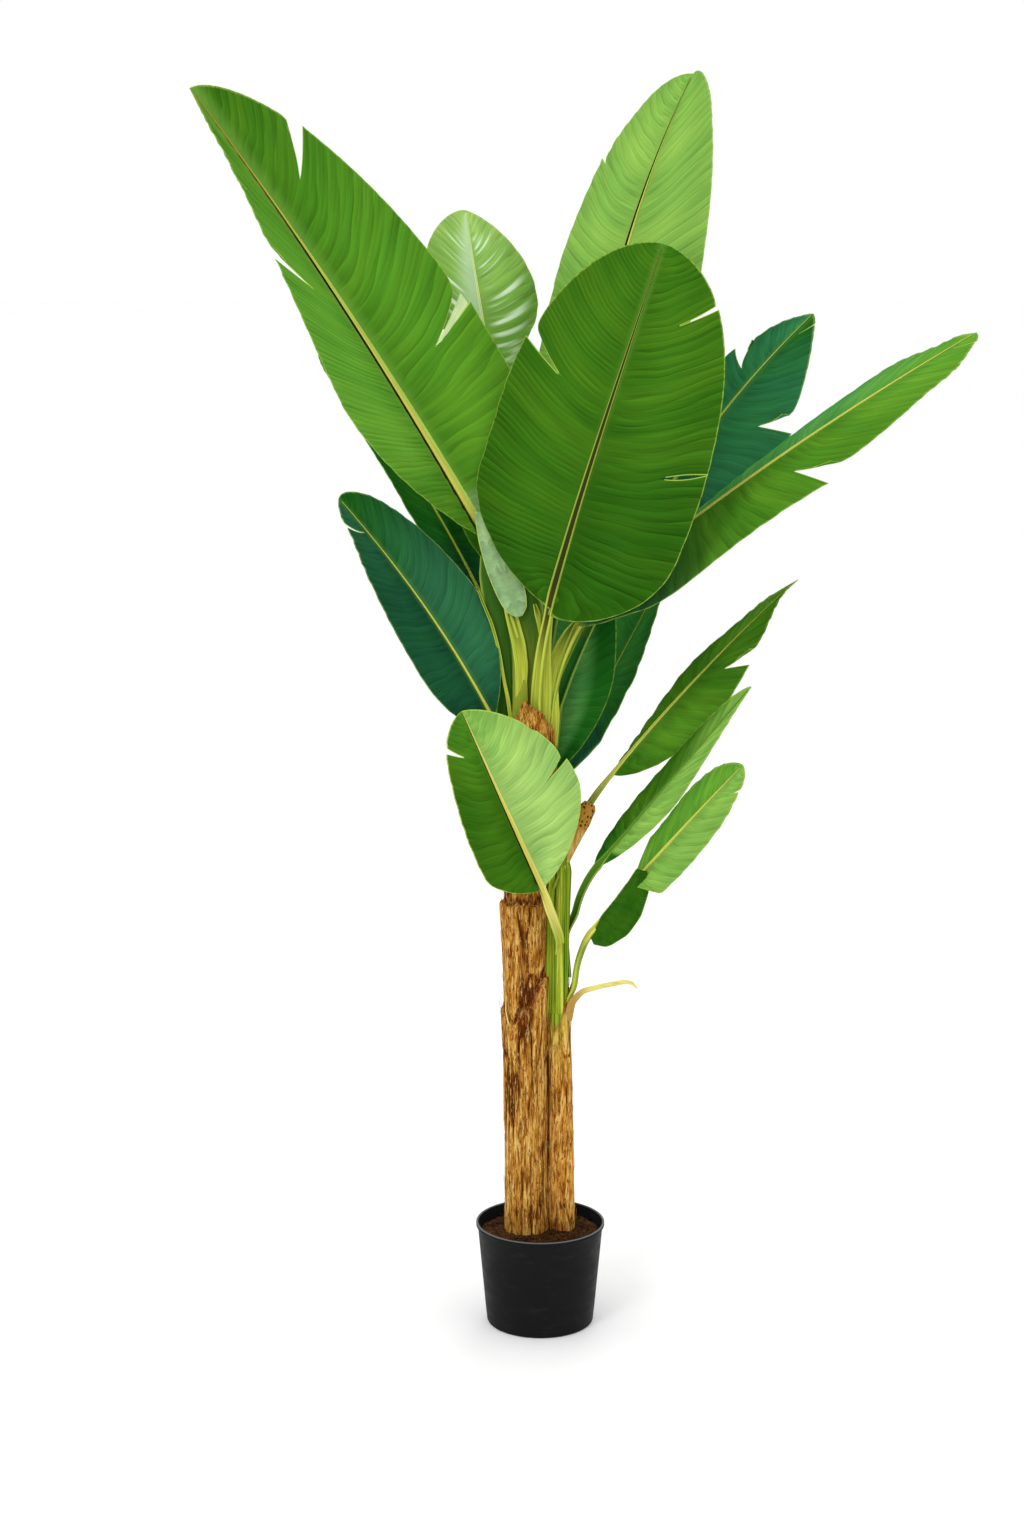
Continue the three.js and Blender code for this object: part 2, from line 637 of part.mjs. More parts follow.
function dryStripGeometry() {
  const points = DRY_STRIP.path.map((place) => new THREE.Vector3(...place));
  const halfSides = DRY_STRIP.width.map((width) => width / 2);
  const halfUps = DRY_STRIP.path.map(() => DRY_STRIP.thick / 2);
  return tube(points, halfSides, halfUps, DRY_STRIP.sides, new THREE.Vector3(0, 1, 0));
}

const plant = new THREE.Group();

function addPiece(name, geometry, [colour, roughness]) {
  const material = new THREE.MeshStandardMaterial({ color: colour, roughness, metalness: 0 });
  const mesh = new THREE.Mesh(geometry, material);
  mesh.name = name;
  plant.add(mesh);
}

addPiece("pot", potGeometry(), FINISH.pot);
addPiece("pot_fill", fillGeometry(), FINISH.fill);
addPiece("main_stem", stemGeometry(MAIN_STEM), FINISH.bark);
addPiece("side_stem", stemGeometry(SIDE_STEM), FINISH.green);
addPiece("crown_sheath", crownSheathGeometry(), FINISH.bark);
addPiece("leaf_base_stub", stubGeometry(), FINISH.bark);
addPiece("dry_strip", dryStripGeometry(), FINISH.straw);
for (const [name, leaf] of Object.entries(LEAVES)) {
  addPiece(name, leafGeometry(leaf), [leaf.colour, BLADE.roughness]);
}

export default plant;
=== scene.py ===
import math
from functools import reduce

import bpy
import numpy as np
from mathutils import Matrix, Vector


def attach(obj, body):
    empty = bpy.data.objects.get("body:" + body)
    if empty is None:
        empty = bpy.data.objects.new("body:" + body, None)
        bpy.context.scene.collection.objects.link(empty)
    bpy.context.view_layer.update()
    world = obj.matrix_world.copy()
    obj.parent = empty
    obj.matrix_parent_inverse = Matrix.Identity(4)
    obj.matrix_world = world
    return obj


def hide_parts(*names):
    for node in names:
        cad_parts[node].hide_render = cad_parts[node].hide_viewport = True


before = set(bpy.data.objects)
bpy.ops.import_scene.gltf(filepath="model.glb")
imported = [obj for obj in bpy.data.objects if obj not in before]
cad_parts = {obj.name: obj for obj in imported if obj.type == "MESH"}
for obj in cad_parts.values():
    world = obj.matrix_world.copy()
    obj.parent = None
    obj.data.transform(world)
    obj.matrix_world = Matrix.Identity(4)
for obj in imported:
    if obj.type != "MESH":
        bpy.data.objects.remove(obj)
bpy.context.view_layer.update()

# An artificial banana plant in a black nursery pot. Sizes are in millimetres and turns in degrees,
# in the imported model's frame, and MM brings them to metres when a mesh is made.
MM = 0.001

CAMERA = {"place": (-0.0416, -4.0, 1.64), "tilt": 78.6, "lens": 67.0, "sensor": 36.0}
# Lamps: place, size in metres and watts
LAMPS = {
    "key": ((-1.9, -3.2, 3.6), 1.6, 48),
    "fill": ((2.8, -2.4, 1.6), 2.2, 6),
    "back": ((0.6, 3.0, 3.2), 1.8, 18),
}
LAMP_AIM = (0, 0, 1.0)

POT = {"height": 153, "top": 94.5, "base": 78.5, "wall": 2.4, "floor": 3, "rim": 5.5, "lip": 2, "round": 4}
FILL_TOP = 138
GAP = 0.3
# A stem's rings: height, radius, and how far its middle stands right of the pot's axis
MAIN_RINGS = [
    (FILL_TOP, 33, -19.5), (190, 32.2, -20), (440, 31.6, -22.7), (590, 33, -24.5), (636, 35, -25),
    (640, 30.5, -24.5), (760, 30.5, -18.5), (840, 32.3, -14.7), (870, 33, -14),
]
SIDE_RINGS = [
    (FILL_TOP, 18.6, 32.4), (300, 18, 30), (440, 17.6, 28), (472, 18, 27.4), (475, 14.5, 27),
    (600, 13.5, 29), (700, 12, 34),
]
# The fill between the two stems, sunk so that the bark paint darkens it as the shade in that crevice
CLEFT_RINGS = [(FILL_TOP, 8, 12.9), (300, 8, 12), (530, 8.5, 10.5), (610, 9, 12.5), (690, 8.5, 15.2)]
# Where old sheaths end on the main stem: bearing and height. The low one's torn top, and the lower end of
# the one above it, with a sunk wedge between them, painted dark as shade
LOW_SHEATH_TOP = [
    (-180, 478), (-139, 467), (-119, 463), (-97, 474), (-71, 489), (-35, 520), (0, 537), (60, 520),
    (180, 478),
]
HIGH_SHEATH_END = [(-126, 463), (-74, 539), (-18, 546)]
HIGH_SHEATH_TOP = 640
# The brown sheath's torn top on the side stem, lowest in a V at its front
SIDE_SHEATH_TOP = [
    (-180, 480), (-160, 474), (-145, 464), (-124, 446), (-105, 452), (-85, 462), (-61, 480), (-45, 492),
    (-20, 505), (10, 512), (90, 490), (180, 480),
]
# Hollows and cracks in the main stem, which the bark paint also darkens as shade: bearing, height, half width
# in degrees, half height, depth
DENTS = [(-42, 270, 22, 15, 1.9), (-50, 398, 4, 26, 2.2), (-95, 330, 5, 40, 1.2), (-125, 560, 6, 45, 1.2)]
CROWN = {"middle": -14, "height": 870, "ring": 24}
# Torn sheaths round the stalks' feet: bearings, heights, wall, and how far they widen and lean forward
FRONT_SHEATH = {
    "from": -150, "to": -14, "peak_at": -104, "foot": 842, "low": 884, "peak": 944,
    "flare": 0.5, "forward": 22, "thick": 1.6, "radius": 34.1, "green": 0.0,
}
REAR_SHEATH = {
    **FRONT_SHEATH, "from": 20, "to": 200, "peak_at": 120, "foot": 836, "low": 872, "peak": 905,
    "radius": 33.6, "flare": 2, "forward": 0,
}
INNER_SHEATH = {
    **FRONT_SHEATH, "from": -200, "to": 150, "peak_at": -40, "foot": 850, "low": 885, "peak": 912,
    "radius": 31, "flare": 1, "green": 0.85, "forward": 0,
}
# Leaf sheaths standing in the crown, and dark strips of painted shade between them: path, widths, and paints
# from foot to tip
CROWN_RIBBONS = {
    "crown_shade_left": (
        [(-52, -12, 884), (-50, -12, 934), (-53, -12, 984), (-59, -12, 1034), (-67, -12, 1077),
         (-74, -11, 1112), (-78, -10, 1140)],
        [26, 30, 32, 33, 32, 28, 16], "olive_dark olive_dark",
    ),
    "crown_edge_left": (
        [(-42, -20, 871), (-43, -20, 904), (-47, -20, 936), (-53, -20, 964), (-60, -19, 1007),
         (-70, -17, 1044), (-84, -14, 1077), (-89, -13, 1091)],
        [5, 5, 5, 4, 4, 4, 3, 2], "lime lime",
    ),
    "crown_sheath_left": (
        [(-30, -22, 900), (-29, -27, 951), (-28, -28, 984), (-32, -26, 1016), (-42, -20, 1054),
         (-51, -17, 1086)],
        [12, 15, 18, 19, 17, 12], "lime lime",
    ),
    "crown_shade_middle": (
        [(-15, -15, 884), (-16, -19, 950), (-14, -20, 983), (-12, -21, 1020), (-17, -20, 1060),
         (-25, -16, 1100), (-34, -10, 1135)],
        [14, 18, 26, 34, 40, 44, 40], "olive olive_dark",
    ),
    "crown_sheath_front": (
        [(-3, -20, 879), (0, -25, 915), (1, -32, 955), (3, -38, 998), (6, -42, 1028), (11, -47, 1058),
         (16, -52, 1080)],
        [22, 26, 27, 20, 15, 9, 4], "lime lime",
    ),
    "crown_sheath_right": (
        [(17, -12, 869), (19, -17, 908), (13, -22, 958), (19, -26, 991), (28, -29, 1016), (38, -32, 1036),
         (48, -35, 1052)],
        [11, 14, 20, 18, 15, 10, 2], "lime lime",
    ),
    "crown_fork": (
        [(-2, -28, 1030), (-4, -30, 1046), (-6, -30, 1060), (-10, -30, 1074)],
        [3, 5, 8, 4], "lime lime",
    ),
}
# Other strips, as a path and widths: the waxy lobe at the foot of the high left leaf, the part of the low
# side leaf that is folded over and shows its underside, painted dark as the shade it lies in, the dry curl
# on the side stem, and a strand on the main stem
WAXY_LOBE = (
    [(-74, -6, 1203), (-67, -10, 1163), (-57, -16, 1126), (-46, -22, 1097), (-39, -26, 1078),
     (-34, -29, 1065), (-31, -30, 1056)],
    [42, 44, 44, 42, 37, 28, 8],
)
FOLDED_FOOT = (
    [(73, -44, 590), (88, -52, 597), (104, -62, 617), (120, -82, 645), (134, -99, 680), (140, -112, 710)],
    [12, 34, 48, 46, 35, 17],
)
DRY_CURL = (
    [(40, -12, 462), (45, -13, 490), (60, -13, 507), (90, -13, 515), (120, -13, 521), (132, -12, 519),
     (139, -12, 511)],
    [14, 12, 9, 7.5, 6.5, 5, 2],
)
DRY_STRAND = ([(-50, -17, 500), (-51, -20, 480), (-47, -24, 462), (-41, -28, 452)], [2.5, 3, 2.5, 1])
STUB = {"root": (39, -4.5, 697), "end": (70, -5, 783), "bend": 8, "lean": 28, "flat": 0.8}
STUB_RADII = {0: 2.5, 0.33: 7.4, 0.66: 12, 0.92: 12, 1: 8}

# The blade's rule, as in the solids
CURL, SWEEP = -20, 0.8
VEIN_BEND, VEIN_CURVE, LOBE_FADE = 1.5, 1.6, 4
BLADE_THICK = 1.1
# How close together the points stand, along a leaf and across half a blade
RIB_STEP, ROW_EVERY, COLUMNS = 3, 3.2, 22
# Pleats along the veins, wide and fine: spacing and height
WIDE_PLEAT, FINE_PLEAT = (27, 0.85), (12.5, 0.35)
# How far a stalk goes on below its root, and how deep that part runs into the stem
SUNK_OVER, SUNK_DEEP = 45, 7
# How far from a torn edge counts as none
FAR = 100.0
# Large odd numbers that mix a place and a seed for smooth_noise
MIX_PLACE, MIX_SEED, MIX_AGAIN = (73856093, 19349663, 83492791), 2654435, 1274126177

# Greens and browns, as sRGB hex. Glint is a painted reflection, channel paints shade in a rib's groove and
# along its side, and light also paints the highlight along a rib.
PAINT = {
    "deep": "2c5a10", "green": "396914", "mid": "4e8420", "fresh": "609a30", "light": "7fae4b",
    "pale": "97be64", "frost": "d9edcd", "waxy": "86a772", "teal": "2a6340", "teal_dark": "1b4f32",
    "jade": "31784a", "fern": "2f702e", "sage": "569c4c", "forest": "1f5f1a", "leek": "4f9548",
    "lime": "b3bc3c", "olive": "6f8224", "olive_dark": "2f5a10", "rib": "cfc95a", "ochre": "b98e34",
    "lip": "c8dca0", "channel": "241d06", "margin": "b4cf58", "cream": "e8dc84", "rust": "6e3512",
    "bark_dark": "4a230c", "bark": "96601f", "bark_gold": "bd8634", "straw": "dcb96c", "red_edge": "a8452a",
    "stem_green": "8ea428", "stem_light": "d2cd56", "stem_dark": "3f6d12", "coir_dark": "20120a",
    "coir": "6b4524", "pot": "131314", "pot_edge": "6d7072", "floor": "ffffff",
}


def paint(name, shade=1.0):
    """A named colour as linear RGBA."""
    parts = [int(PAINT[name][i:i + 2], 16) / 255 for i in (0, 2, 4)]
    linear = [p / 12.92 if p <= 0.04045 else ((p + 0.055) / 1.055) ** 2.4 for p in parts]
    return tuple(min(1.0, p * shade) for p in linear) + (1.0,)


def root_at(place, bearing=0.0, sunk=0.0):
    """Where a stalk starts, and how far its base runs in under the stem's surface, against its bearing."""
    turn = math.radians(bearing)
    return {"place": place, "inward": (-sunk * math.cos(turn), -sunk * math.sin(turn), 0.0)}


def crown_root(bearing, ring=CROWN["ring"]):
    """A root on the ring where the stalks leave the top of the main stem."""
    turn = math.radians(bearing)
    return root_at((CROWN["middle"] + ring * math.cos(turn), ring * math.sin(turn), CROWN["height"] + GAP))


def ring_at(rings, height):
    """A stem's radius and middle at a height."""
    heights, radii, middles = zip(*rings)
    return np.interp(height, heights, radii), np.interp(height, heights, middles)


def stem_root(rings, height, bearing, stand_off):
    """A root against the side of a stem."""
    radius, middle = ring_at(rings, height)
    turn = math.radians(bearing)
    reach = radius + stand_off
    place = (middle + reach * math.cos(turn), reach * math.sin(turn), height)
    return root_at(place, bearing, stand_off + SUNK_DEEP)


def half(width, fold, widest, tip, foot, lobe, paints, turns=(0.0, 0.24), outer=None):
    """One half of a blade: its size, fold up from the rib, outline, and colours from foot to tip, partly its
    own greens and partly painted light and shade, with an optional painted shadow band.
    """
    return {
        "width": width, "fold": fold, "widest": widest, "tip": tip, "foot": foot, "lobe": lobe,
        "paints": paints, "turns": turns, "outer": outer,
    }


def tear(side, at, wide, flare, depth, slit=False):
    """A tear along a vein, from a share of the way to the margin on. A slit closes again at the margin."""
    return {"side": side, "at": at, "open": wide, "flare": flare, "depth": depth, "slit": slit}


# What a leaf shows unless it is told otherwise
PLAIN_LOOKS = {
    "tears": (), "kink": None, "flap": 0.0, "wave": 3.2, "twist": 0.0, "merge": 0, "wing": 0.8, "sheath": 1.0,
    "rib_wide": 1.0, "rib_paint": "rib", "channel": "rib", "dark_line": None, "ochre": 0.0,
    "stalk_paints": "olive lime", "gloss": 0.0, "edge": 0.4, "glow": (0.2, 1.0), "pitch": (0.11, 0.13),
    "crisp": 1.0,
}


def leaf(root, radii, stalk, blade, heading, climb, roll, left, right, **looks):
    """One leaf: its stalk and blade with the same sizes as its solid, and what only shows."""
    sizes = {"radii": radii, "stalk": stalk, "blade": blade, "heading": heading, "climb": climb, "roll": roll}
    ends = {"root": root["place"], "inward": root["inward"]}
    return {**ends, **sizes, "left": left, "right": right, **PLAIN_LOOKS, **looks}


LEAVES = {
    "leaf_high_left": leaf(
        crown_root(-140), (7.5, 6), 307, 743, (114, 164, 173), (99, 59, 53), (-51, -46),
        half(152, (48, 39), 0.32, 0.2, 0.54, 0, "mid fresh mid"),
        half(153, (44, 25), 0.33, 0.8, 0.85, 85, "waxy mid green", (0.05, 0.1)),
        tears=[tear("left", 0.5, 12, 4, 0.48), tear("left", 0.65, 2, 3, 0.93),
               tear("right", 0.69, 14, 4, 0.55), tear("right", 0.32, 12, 5, 0.53)],
        dark_line=(0.2, -0.55), stalk_paints="lime lime", rib_wide=2.1, twist=150, sheath=0.5, flap=19,
        pitch=(0.075, 0.2), glow=(0.45, 2.4), rib_paint="margin", wave=1.8, ochre=0.7, crisp=1.4,
    ),
    "leaf_back_small": leaf(
        crown_root(125), (6.5, 4), 433, 347, (92, 126, 102), (80, 76, 59), (41, 15),
        half(104, (8, 14), 0.53, 0.64, 0.52, 0, "light light pale"),
        half(117, (-24, 65), 0.56, 0.2, 0.4, 0, "light light pale"),
        gloss=1.0, rib_paint="frost", stalk_paints="olive_dark olive", sheath=1.8,
    ),
    "leaf_high_right": leaf(
        crown_root(80), (7.5, 5.5), 435, 578, (-10, 61, 45), (84, 72, 54), (1, -12),
        half(139, (-9, 20), 0.38, 1, 0.8, 14, "pale light light"),
        half(139, (-1, 22), 0.46, 0.95, 0.8, 6, "pale light light"),
        tears=[tear("left", 0.62, 2, 3, 0.9)],
        dark_line=(0.25, 0.0), stalk_paints="forest forest", sheath=0.5, rib_wide=1.5, pitch=(0.16, 0.16),
    ),
    "leaf_front": leaf(
        crown_root(-70), (7.5, 5.5), 232, 500, (-112, -24, 17), (75, 74, 71), (66, 49),
        half(169, (23, 9), 0.28, 0.93, 0.5, 22, "deep green green"),
        half(176, (3, 3), 0.27, 1, 0.75, 30, "deep green green", (0.15, 0.65)),
        tears=[tear("right", 0.75, 4, 2, 0.53), tear("right", 0.36, 5, 0, 0.62, slit=True),
               tear("left", 0.52, 9, 3, 0.55)],
        stalk_paints="lime lime", sheath=0.5, rib_wide=1.4, channel="channel", edge=0.5,
        pitch=(0.07, 0.12), rib_paint="olive", crisp=1.7,
    ),
    "leaf_right_back": leaf(
        crown_root(40), (6.5, 5), 388, 384, (5, 39, 33), (74, 48, 36), (40, 2),
        half(104, (-22, 25), 0.36, 0.5, 0.8, 12, "teal jade jade"),
        half(106, (9, -6), 0.39, 0.4, 0.8, 9, "teal jade forest"),
        tears=[tear("left", 0.61, 16, 4, 0.43), tear("right", 0.39, 14, 8, 0.58),
               tear("right", 0.86, 8, 2, 0.43)],
        rib_paint="leek", stalk_paints="forest forest", sheath=0.7, rib_wide=0.6,
    ),
    "leaf_far_right": leaf(
        crown_root(-10), (7, 5.5), 297, 570, (-55, -6, 3), (89, 39, 30), (25, 14),
        half(110, (-24, 15), 0.47, 0.26, 0.8, 5, "teal leek fresh"),
        half(107, (2, -1), 0.26, 1, 0.9, 110, "teal mid fresh"),
        tears=[tear("right", 0.42, 14, 16, 0.5), tear("right", 0.93, 8, 3, 0.12)],
        stalk_paints="lime lime", sheath=1.1, rib_wide=0.8,
    ),
    "leaf_left_low": leaf(
        stem_root(MAIN_RINGS, 800, 205, 5), (5.5, 4.5), 112, 391, (248, 183, 212), (95, 63, 47), (-63, -54),
        half(80, (21, 15), 0.38, 1, 0.82, 12, "teal_dark teal_dark teal"),
        half(80, (42, 0), 0.44, 1, 0.4, 0, "teal_dark teal forest"),
        tears=[tear("left", 0.84, 6, 2, 0.23)],
        stalk_paints="olive olive", sheath=0.3, rib_wide=0.4, rib_paint="lime",
    ),
    "leaf_left_back": leaf(
        crown_root(170), (6, 4.5), 235, 462, (111, 128, 145), (77, 49, 40), (13, 5),
        half(71, (13, 15), 0.38, 0.77, 0.82, 11, "teal_dark forest forest"),
        half(84, (-2, 11), 0.4, 0.8, 0.8, 26, "teal_dark forest forest"),
        stalk_paints="lime lime", sheath=0.5, rib_wide=0.5, rib_paint="lime",
    ),
    "leaf_right_low_near": leaf(
        stem_root(MAIN_RINGS, 760, 35, 5.6), (5.5, 4.5), 77, 340, (62, 56, 47), (72, 80, 64), (13, 13),
        half(84, (12, 12), 0.42, 0.8, 0.8, 10, "sage sage leek"),
        half(74, (12, 13), 0.42, 0.5, 0.5, 14, "leek sage leek", outer=("forest", 0.3, 0.7)),
        rib_paint="leek", sheath=0.3, rib_wide=0.5,
    ),
    "leaf_right_low_back": leaf(
        stem_root(MAIN_RINGS, 800, 60, 2.1), (5.5, 4.5), 97, 437, (54, 51, 40), (15, 46, 54), (-13, -16),
        half(78, (12, 12), 0.42, 0.8, 0.8, 10, "teal fern forest"),
        half(78, (19, 23), 0.4, 0.1, 1, 105, "teal fern forest", (0.1, 0.16)),
        rib_paint="leek", sheath=0.3, rib_wide=0.6,
    ),
    # Its pale right half and dark left half are partly painted light and shade.
    "leaf_front_low": leaf(
        stem_root(SIDE_RINGS, 565, -100, 5.4), (5.5, 4.5), 118, 283, (-80, -167, -176), (60, 66, 67),
        (-76, -55),
        half(109, (45, 20), 0.26, 1, 0.4, 0, "green green mid"),
        half(113, (39, 13), 0.44, 0.62, 0.4, 0, "pale pale light"),
        tears=[tear("right", 0.43, 4, 1, 0.62), tear("left", 0.75, 6, 3, 0.55)],
        dark_line=(0.35, 0.4), stalk_paints="lime cream", sheath=0.4, edge=0.9, rib_wide=1.7,
        rib_paint="cream", merge=60,
    ),
    "leaf_side_high": leaf(
        root_at((29.5, 5, 700 + GAP)), (5, 4), 141, 393, (22, 19, 16), (67, 47, 40), (13, 14),
        half(76, (-30, 34), 0.27, 0, 0.84, 0, "mid mid fresh"),
        half(76, (-27, 47), 0.46, 0.34, 0.64, 0, "green mid mid"),
        tears=[tear("right", 0.5, 12, 5, 0.55)],
        sheath=1.3, stalk_paints="stem_green olive", rib_wide=0.8, wing=1.2,
    ),
    "leaf_side_mid": leaf(
        stem_root(SIDE_RINGS, 570, 0, 5.6), (5, 4), 130, 343, (-40, -5, -12), (97, 51, 51), (54, 50),
        half(31, (-5, 14), 0.37, 0.71, 0.77, 7, "forest green light"),
        half(30, (-7, 13), 0.43, 0.1, 0.55, 0, "forest light light", (0.07, 0.1)),
        rib_paint="mid", channel="mid", sheath=0.3, stalk_paints="olive_dark stem_dark", rib_wide=0.45,
        wing=1.6, merge=55,
    ),
    "leaf_side_low": leaf(
        stem_root(SIDE_RINGS, 505, -5, 4.9), (7, 6), 102, 363, (-73, -42, -20), (83, 49, 48), (46, 46),
        half(61, (0, 11), 0.48, 0.78, 0.77, 0, "fresh fresh fresh"),
        half(62, (9, 1), 0.56, 1, 1, 68, "light light light"),
        tears=[tear("right", 0.84, 3, 1, 0.65)], kink={"until": 0.33, "narrow": 0.12, "back": -6},
        sheath=0.3, rib_wide=0.8, wing=1.6, merge=15, stalk_paints="lime olive",
    ),
    "leaf_back_high": leaf(
        crown_root(0, 0), (6, 5), 238, 397, (100, 98, 96), (84, 55, 5), (-2, -3),
        half(88, (18, 12), 0.4, 0.8, 0.8, 10, "deep green mid"),
        half(88, (18, 12), 0.4, 0.8, 0.8, 14, "deep green mid"),
        tears=[tear("left", 0.55, 8, 3, 0.5)], sheath=0.9, rib_wide=1.1,
    ),
    "leaf_back_low": leaf(
        stem_root(MAIN_RINGS, 670, 100, 4.6), (5.5, 4.5), 80, 270, (103, 105, 105), (66, 56, 30), (6, 6),
        half(62, (16, 12), 0.4, 0.9, 0.8, 6, "forest green mid"),
        half(62, (16, 12), 0.4, 0.8, 0.8, 6, "forest green mid"),
        sheath=0.3,
    ),
}
DARK_LEAVES = {
    "leaf_right_back", "leaf_left_low", "leaf_left_back", "leaf_right_low_near", "leaf_right_low_back",
    "leaf_back_low",
}
PALE_LEAVES = {"leaf_back_small", "leaf_high_right", "leaf_front_low"}


# Noise and meshes

def stacked(*parts):
    """Numbers and arrays that spread to one shape, side by side on a last axis."""
    return np.stack(np.broadcast_arrays(*parts), -1)


def unit(vectors):
    """Vectors brought to a length of 1."""
    return vectors / np.maximum(np.linalg.norm(vectors, axis=-1, keepdims=True), 1e-9)


def smooth_noise(x, y, z, seed):
    """Smooth noise from -1 to 1 at each place, the same on every run."""
    places = stacked(x, y, z)
    base = np.floor(places).astype(np.int64)
    part = places - base
    part = part * part * (3 - 2 * part)
    total = np.zeros(places.shape[:-1])
    for corner in range(8):
        offset = np.array([corner & 1, corner >> 1 & 1, corner >> 2 & 1])
        mixed = np.bitwise_xor.reduce((base + offset) * MIX_PLACE, axis=-1) ^ seed * MIX_SEED
        mixed = (mixed ^ mixed >> 13) * MIX_AGAIN & 0x7FFFFFFF
        value = (mixed >> 8 & 0xFFFF) / 32767.5 - 1
        total += value * np.prod(np.where(offset, part, 1 - part), axis=-1)
    return total


def eased(value, low, high):
    """0 below low, 1 above high, and smooth between."""
    share = np.clip((value - low) / (high - low), 0, 1)
    return share * share * (3 - 2 * share)


def place_object(name, data):
    """A new object in the scene."""
    made = bpy.data.objects.new(name, data)
    bpy.context.scene.collection.objects.link(made)
    return made


def make_mesh(name, points, faces, marks=(), smooth_below=50):
    """A mesh object at the origin, from points in millimetres. Its marks have one or three values a point."""
    points = np.asarray(points, float).reshape(-1, 3) * MM
    mesh = bpy.data.meshes.new(name)
    mesh.from_pydata(points.tolist(), [], [tuple(f) for f in faces])
    for label, values in marks:
        values = np.asarray(values, np.float32).ravel()
        kind, field = ("FLOAT", "value") if len(values) == len(points) else ("FLOAT_VECTOR", "vector")
        mesh.attributes.new(label, kind, "POINT").data.foreach_set(field, values)
    mesh.validate()
    mesh.shade_smooth()
    mesh.set_sharp_from_angle(angle=math.radians(smooth_below))
    return place_object(name, mesh)


def hand_over(piece, material, slot, *nodes):
    """Gives a piece its material and its place on the plant's body, and hides the nodes that it stands for.
    """
    piece.data.materials.clear()
    piece.data.materials.append(material)
    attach(piece, "root")
    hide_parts(*nodes)


def grid_faces(rows, columns, closed=False):
    """Quads of a grid of points. A closed grid's last column joins its first."""
    quads = []
    around = columns if closed else columns - 1
    for i in range(rows - 1):
        for j in range(around):
            a, b = i * columns + j, i * columns + (j + 1) % columns
            quads.append((a, b, b + columns, a + columns))
    return quads


def point_normals(points, faces):
    """Each point's mean normal."""
    normals = np.zeros_like(points)
    quads = np.array([tuple(f) + (f[-1],) * (4 - len(f)) for f in faces])
    across = np.cross(points[quads[:, 2]] - points[quads[:, 0]], points[quads[:, 3]] - points[quads[:, 1]])
    for corner in range(4):
        np.add.at(normals, quads[:, corner], across)
    return unit(normals)


def make_sheet(name, points, faces, thickness, marks, smooth_below=50):
    """A sheet made a closed body, half its thickness to each side, with the same marks on both."""
    points = points.reshape(-1, 3)
    offset = point_normals(points, faces) * (thickness / 2)
    count = len(points)
    shell = [tuple(f) for f in faces] + [tuple(count + i for i in reversed(f)) for f in faces]
    edges = dict.fromkeys((a, b) for f in faces for a, b in zip(f, tuple(f[1:]) + (f[0],)))
    shell += [(b, a, a + count, b + count) for a, b in edges if (b, a) not in edges]
    both = [(label, np.concatenate([values, values])) for label, values in marks]
    return make_mesh(name, np.concatenate([points + offset, points - offset]), shell, both, smooth_below)


def closed_tube(rings):
    """Points and faces of a body through rings of equal count, closed at both ends."""
    rows, count = rings.shape[:2]
    faces = grid_faces(rows, count, closed=True)
    faces.append(tuple(reversed(range(count))))
    faces.append(tuple((rows - 1) * count + j for j in range(count)))
    return rings.reshape(-1, 3), faces


# Leaves

def directions(heading, climb):
    """Unit directions of travel."""
    h, c = np.radians(heading), np.radians(climb)
    return np.stack([np.cos(c) * np.cos(h), np.cos(c) * np.sin(h), np.sin(c)], -1)


class Spine:
    """A leaf's middle line, from its root to its tip."""

    def __init__(self, made):
        self.leaf = made
        stalk, blade = made["stalk"], made["blade"]
        below = np.linspace(-stalk, 0, max(3, math.ceil(stalk / RIB_STEP)) + 1)[:-1]
        self.along = np.concatenate([below, np.linspace(0, blade, math.ceil(blade / RIB_STEP) + 1)])
        travel = directions(*self.angles(self.along))
        steps = np.diff(self.along)[:, None] * (travel[1:] + travel[:-1]) / 2
        self.points = np.concatenate([[made["root"]], made["root"] + np.cumsum(steps, axis=0)])

    def angles(self, s):
        """Heading and climb at a place along the leaf."""
        stalk, blade = self.leaf["stalk"], self.leaf["blade"]
        places = (-stalk, 0, blade)
        return np.interp(s, places, self.leaf["heading"]), np.interp(s, places, self.leaf["climb"])

    def at(self, s):
        return np.stack([np.interp(s, self.along, self.points[:, i]) for i in range(3)], -1)

    def frames(self, s):
        """Direction of travel, and the side and upper directions with the blade's roll."""
        heading, climb = self.angles(s)
        travel = directions(heading, climb)
        turn = np.radians(heading)
        level = np.stack([-np.sin(turn), np.cos(turn), np.zeros_like(turn)], -1)
        upper = np.cross(travel, level)
        roll = np.radians(np.interp(s, (0, self.leaf["blade"]), self.leaf["roll"]))[..., None]
        side = level * np.cos(roll) + upper * np.sin(roll)
        return travel, side, upper * np.cos(roll) - level * np.sin(roll)


def span(q, made):
    """How wide a half is at q, from 0 at its foot to 1 at its tip."""
    q = np.clip(q, 0, 1)
    before = np.clip((made["widest"] - q) / made["widest"], 0, 1)
    after = np.clip((q - made["widest"]) / (1 - made["widest"]), 0, 1)
    low = (1 - before ** (1 + 1.5 * made["foot"])) ** (1 - 0.5 * made["foot"])
    high = np.clip(1 - after ** (1 + 1.5 * made["tip"]), 0, 1) ** (1 - 0.5 * made["tip"])
    return np.where(q < made["widest"], low, high)


def fold_at(made, side_name, vein):
    """How far a half is folded up from the rib, in degrees, at each vein."""
    start, end = made[side_name]["fold"]
    return start + (end - start) * vein


def kinked(kink, side_name, vein):
    """What a kink near the foot leaves of a half's width, and how far it draws the margin footwards."""
    if not kink:
        return 1, 0
    narrow = kink["narrow"] + (1 - kink["narrow"]) * eased(vein, kink["until"] - 0.05, kink["until"] + 0.03)
    fading = np.exp(-np.clip(vein - kink["until"], 0, None) / 0.12)
    return narrow, kink["back"] * fading if side_name == "right" else 0


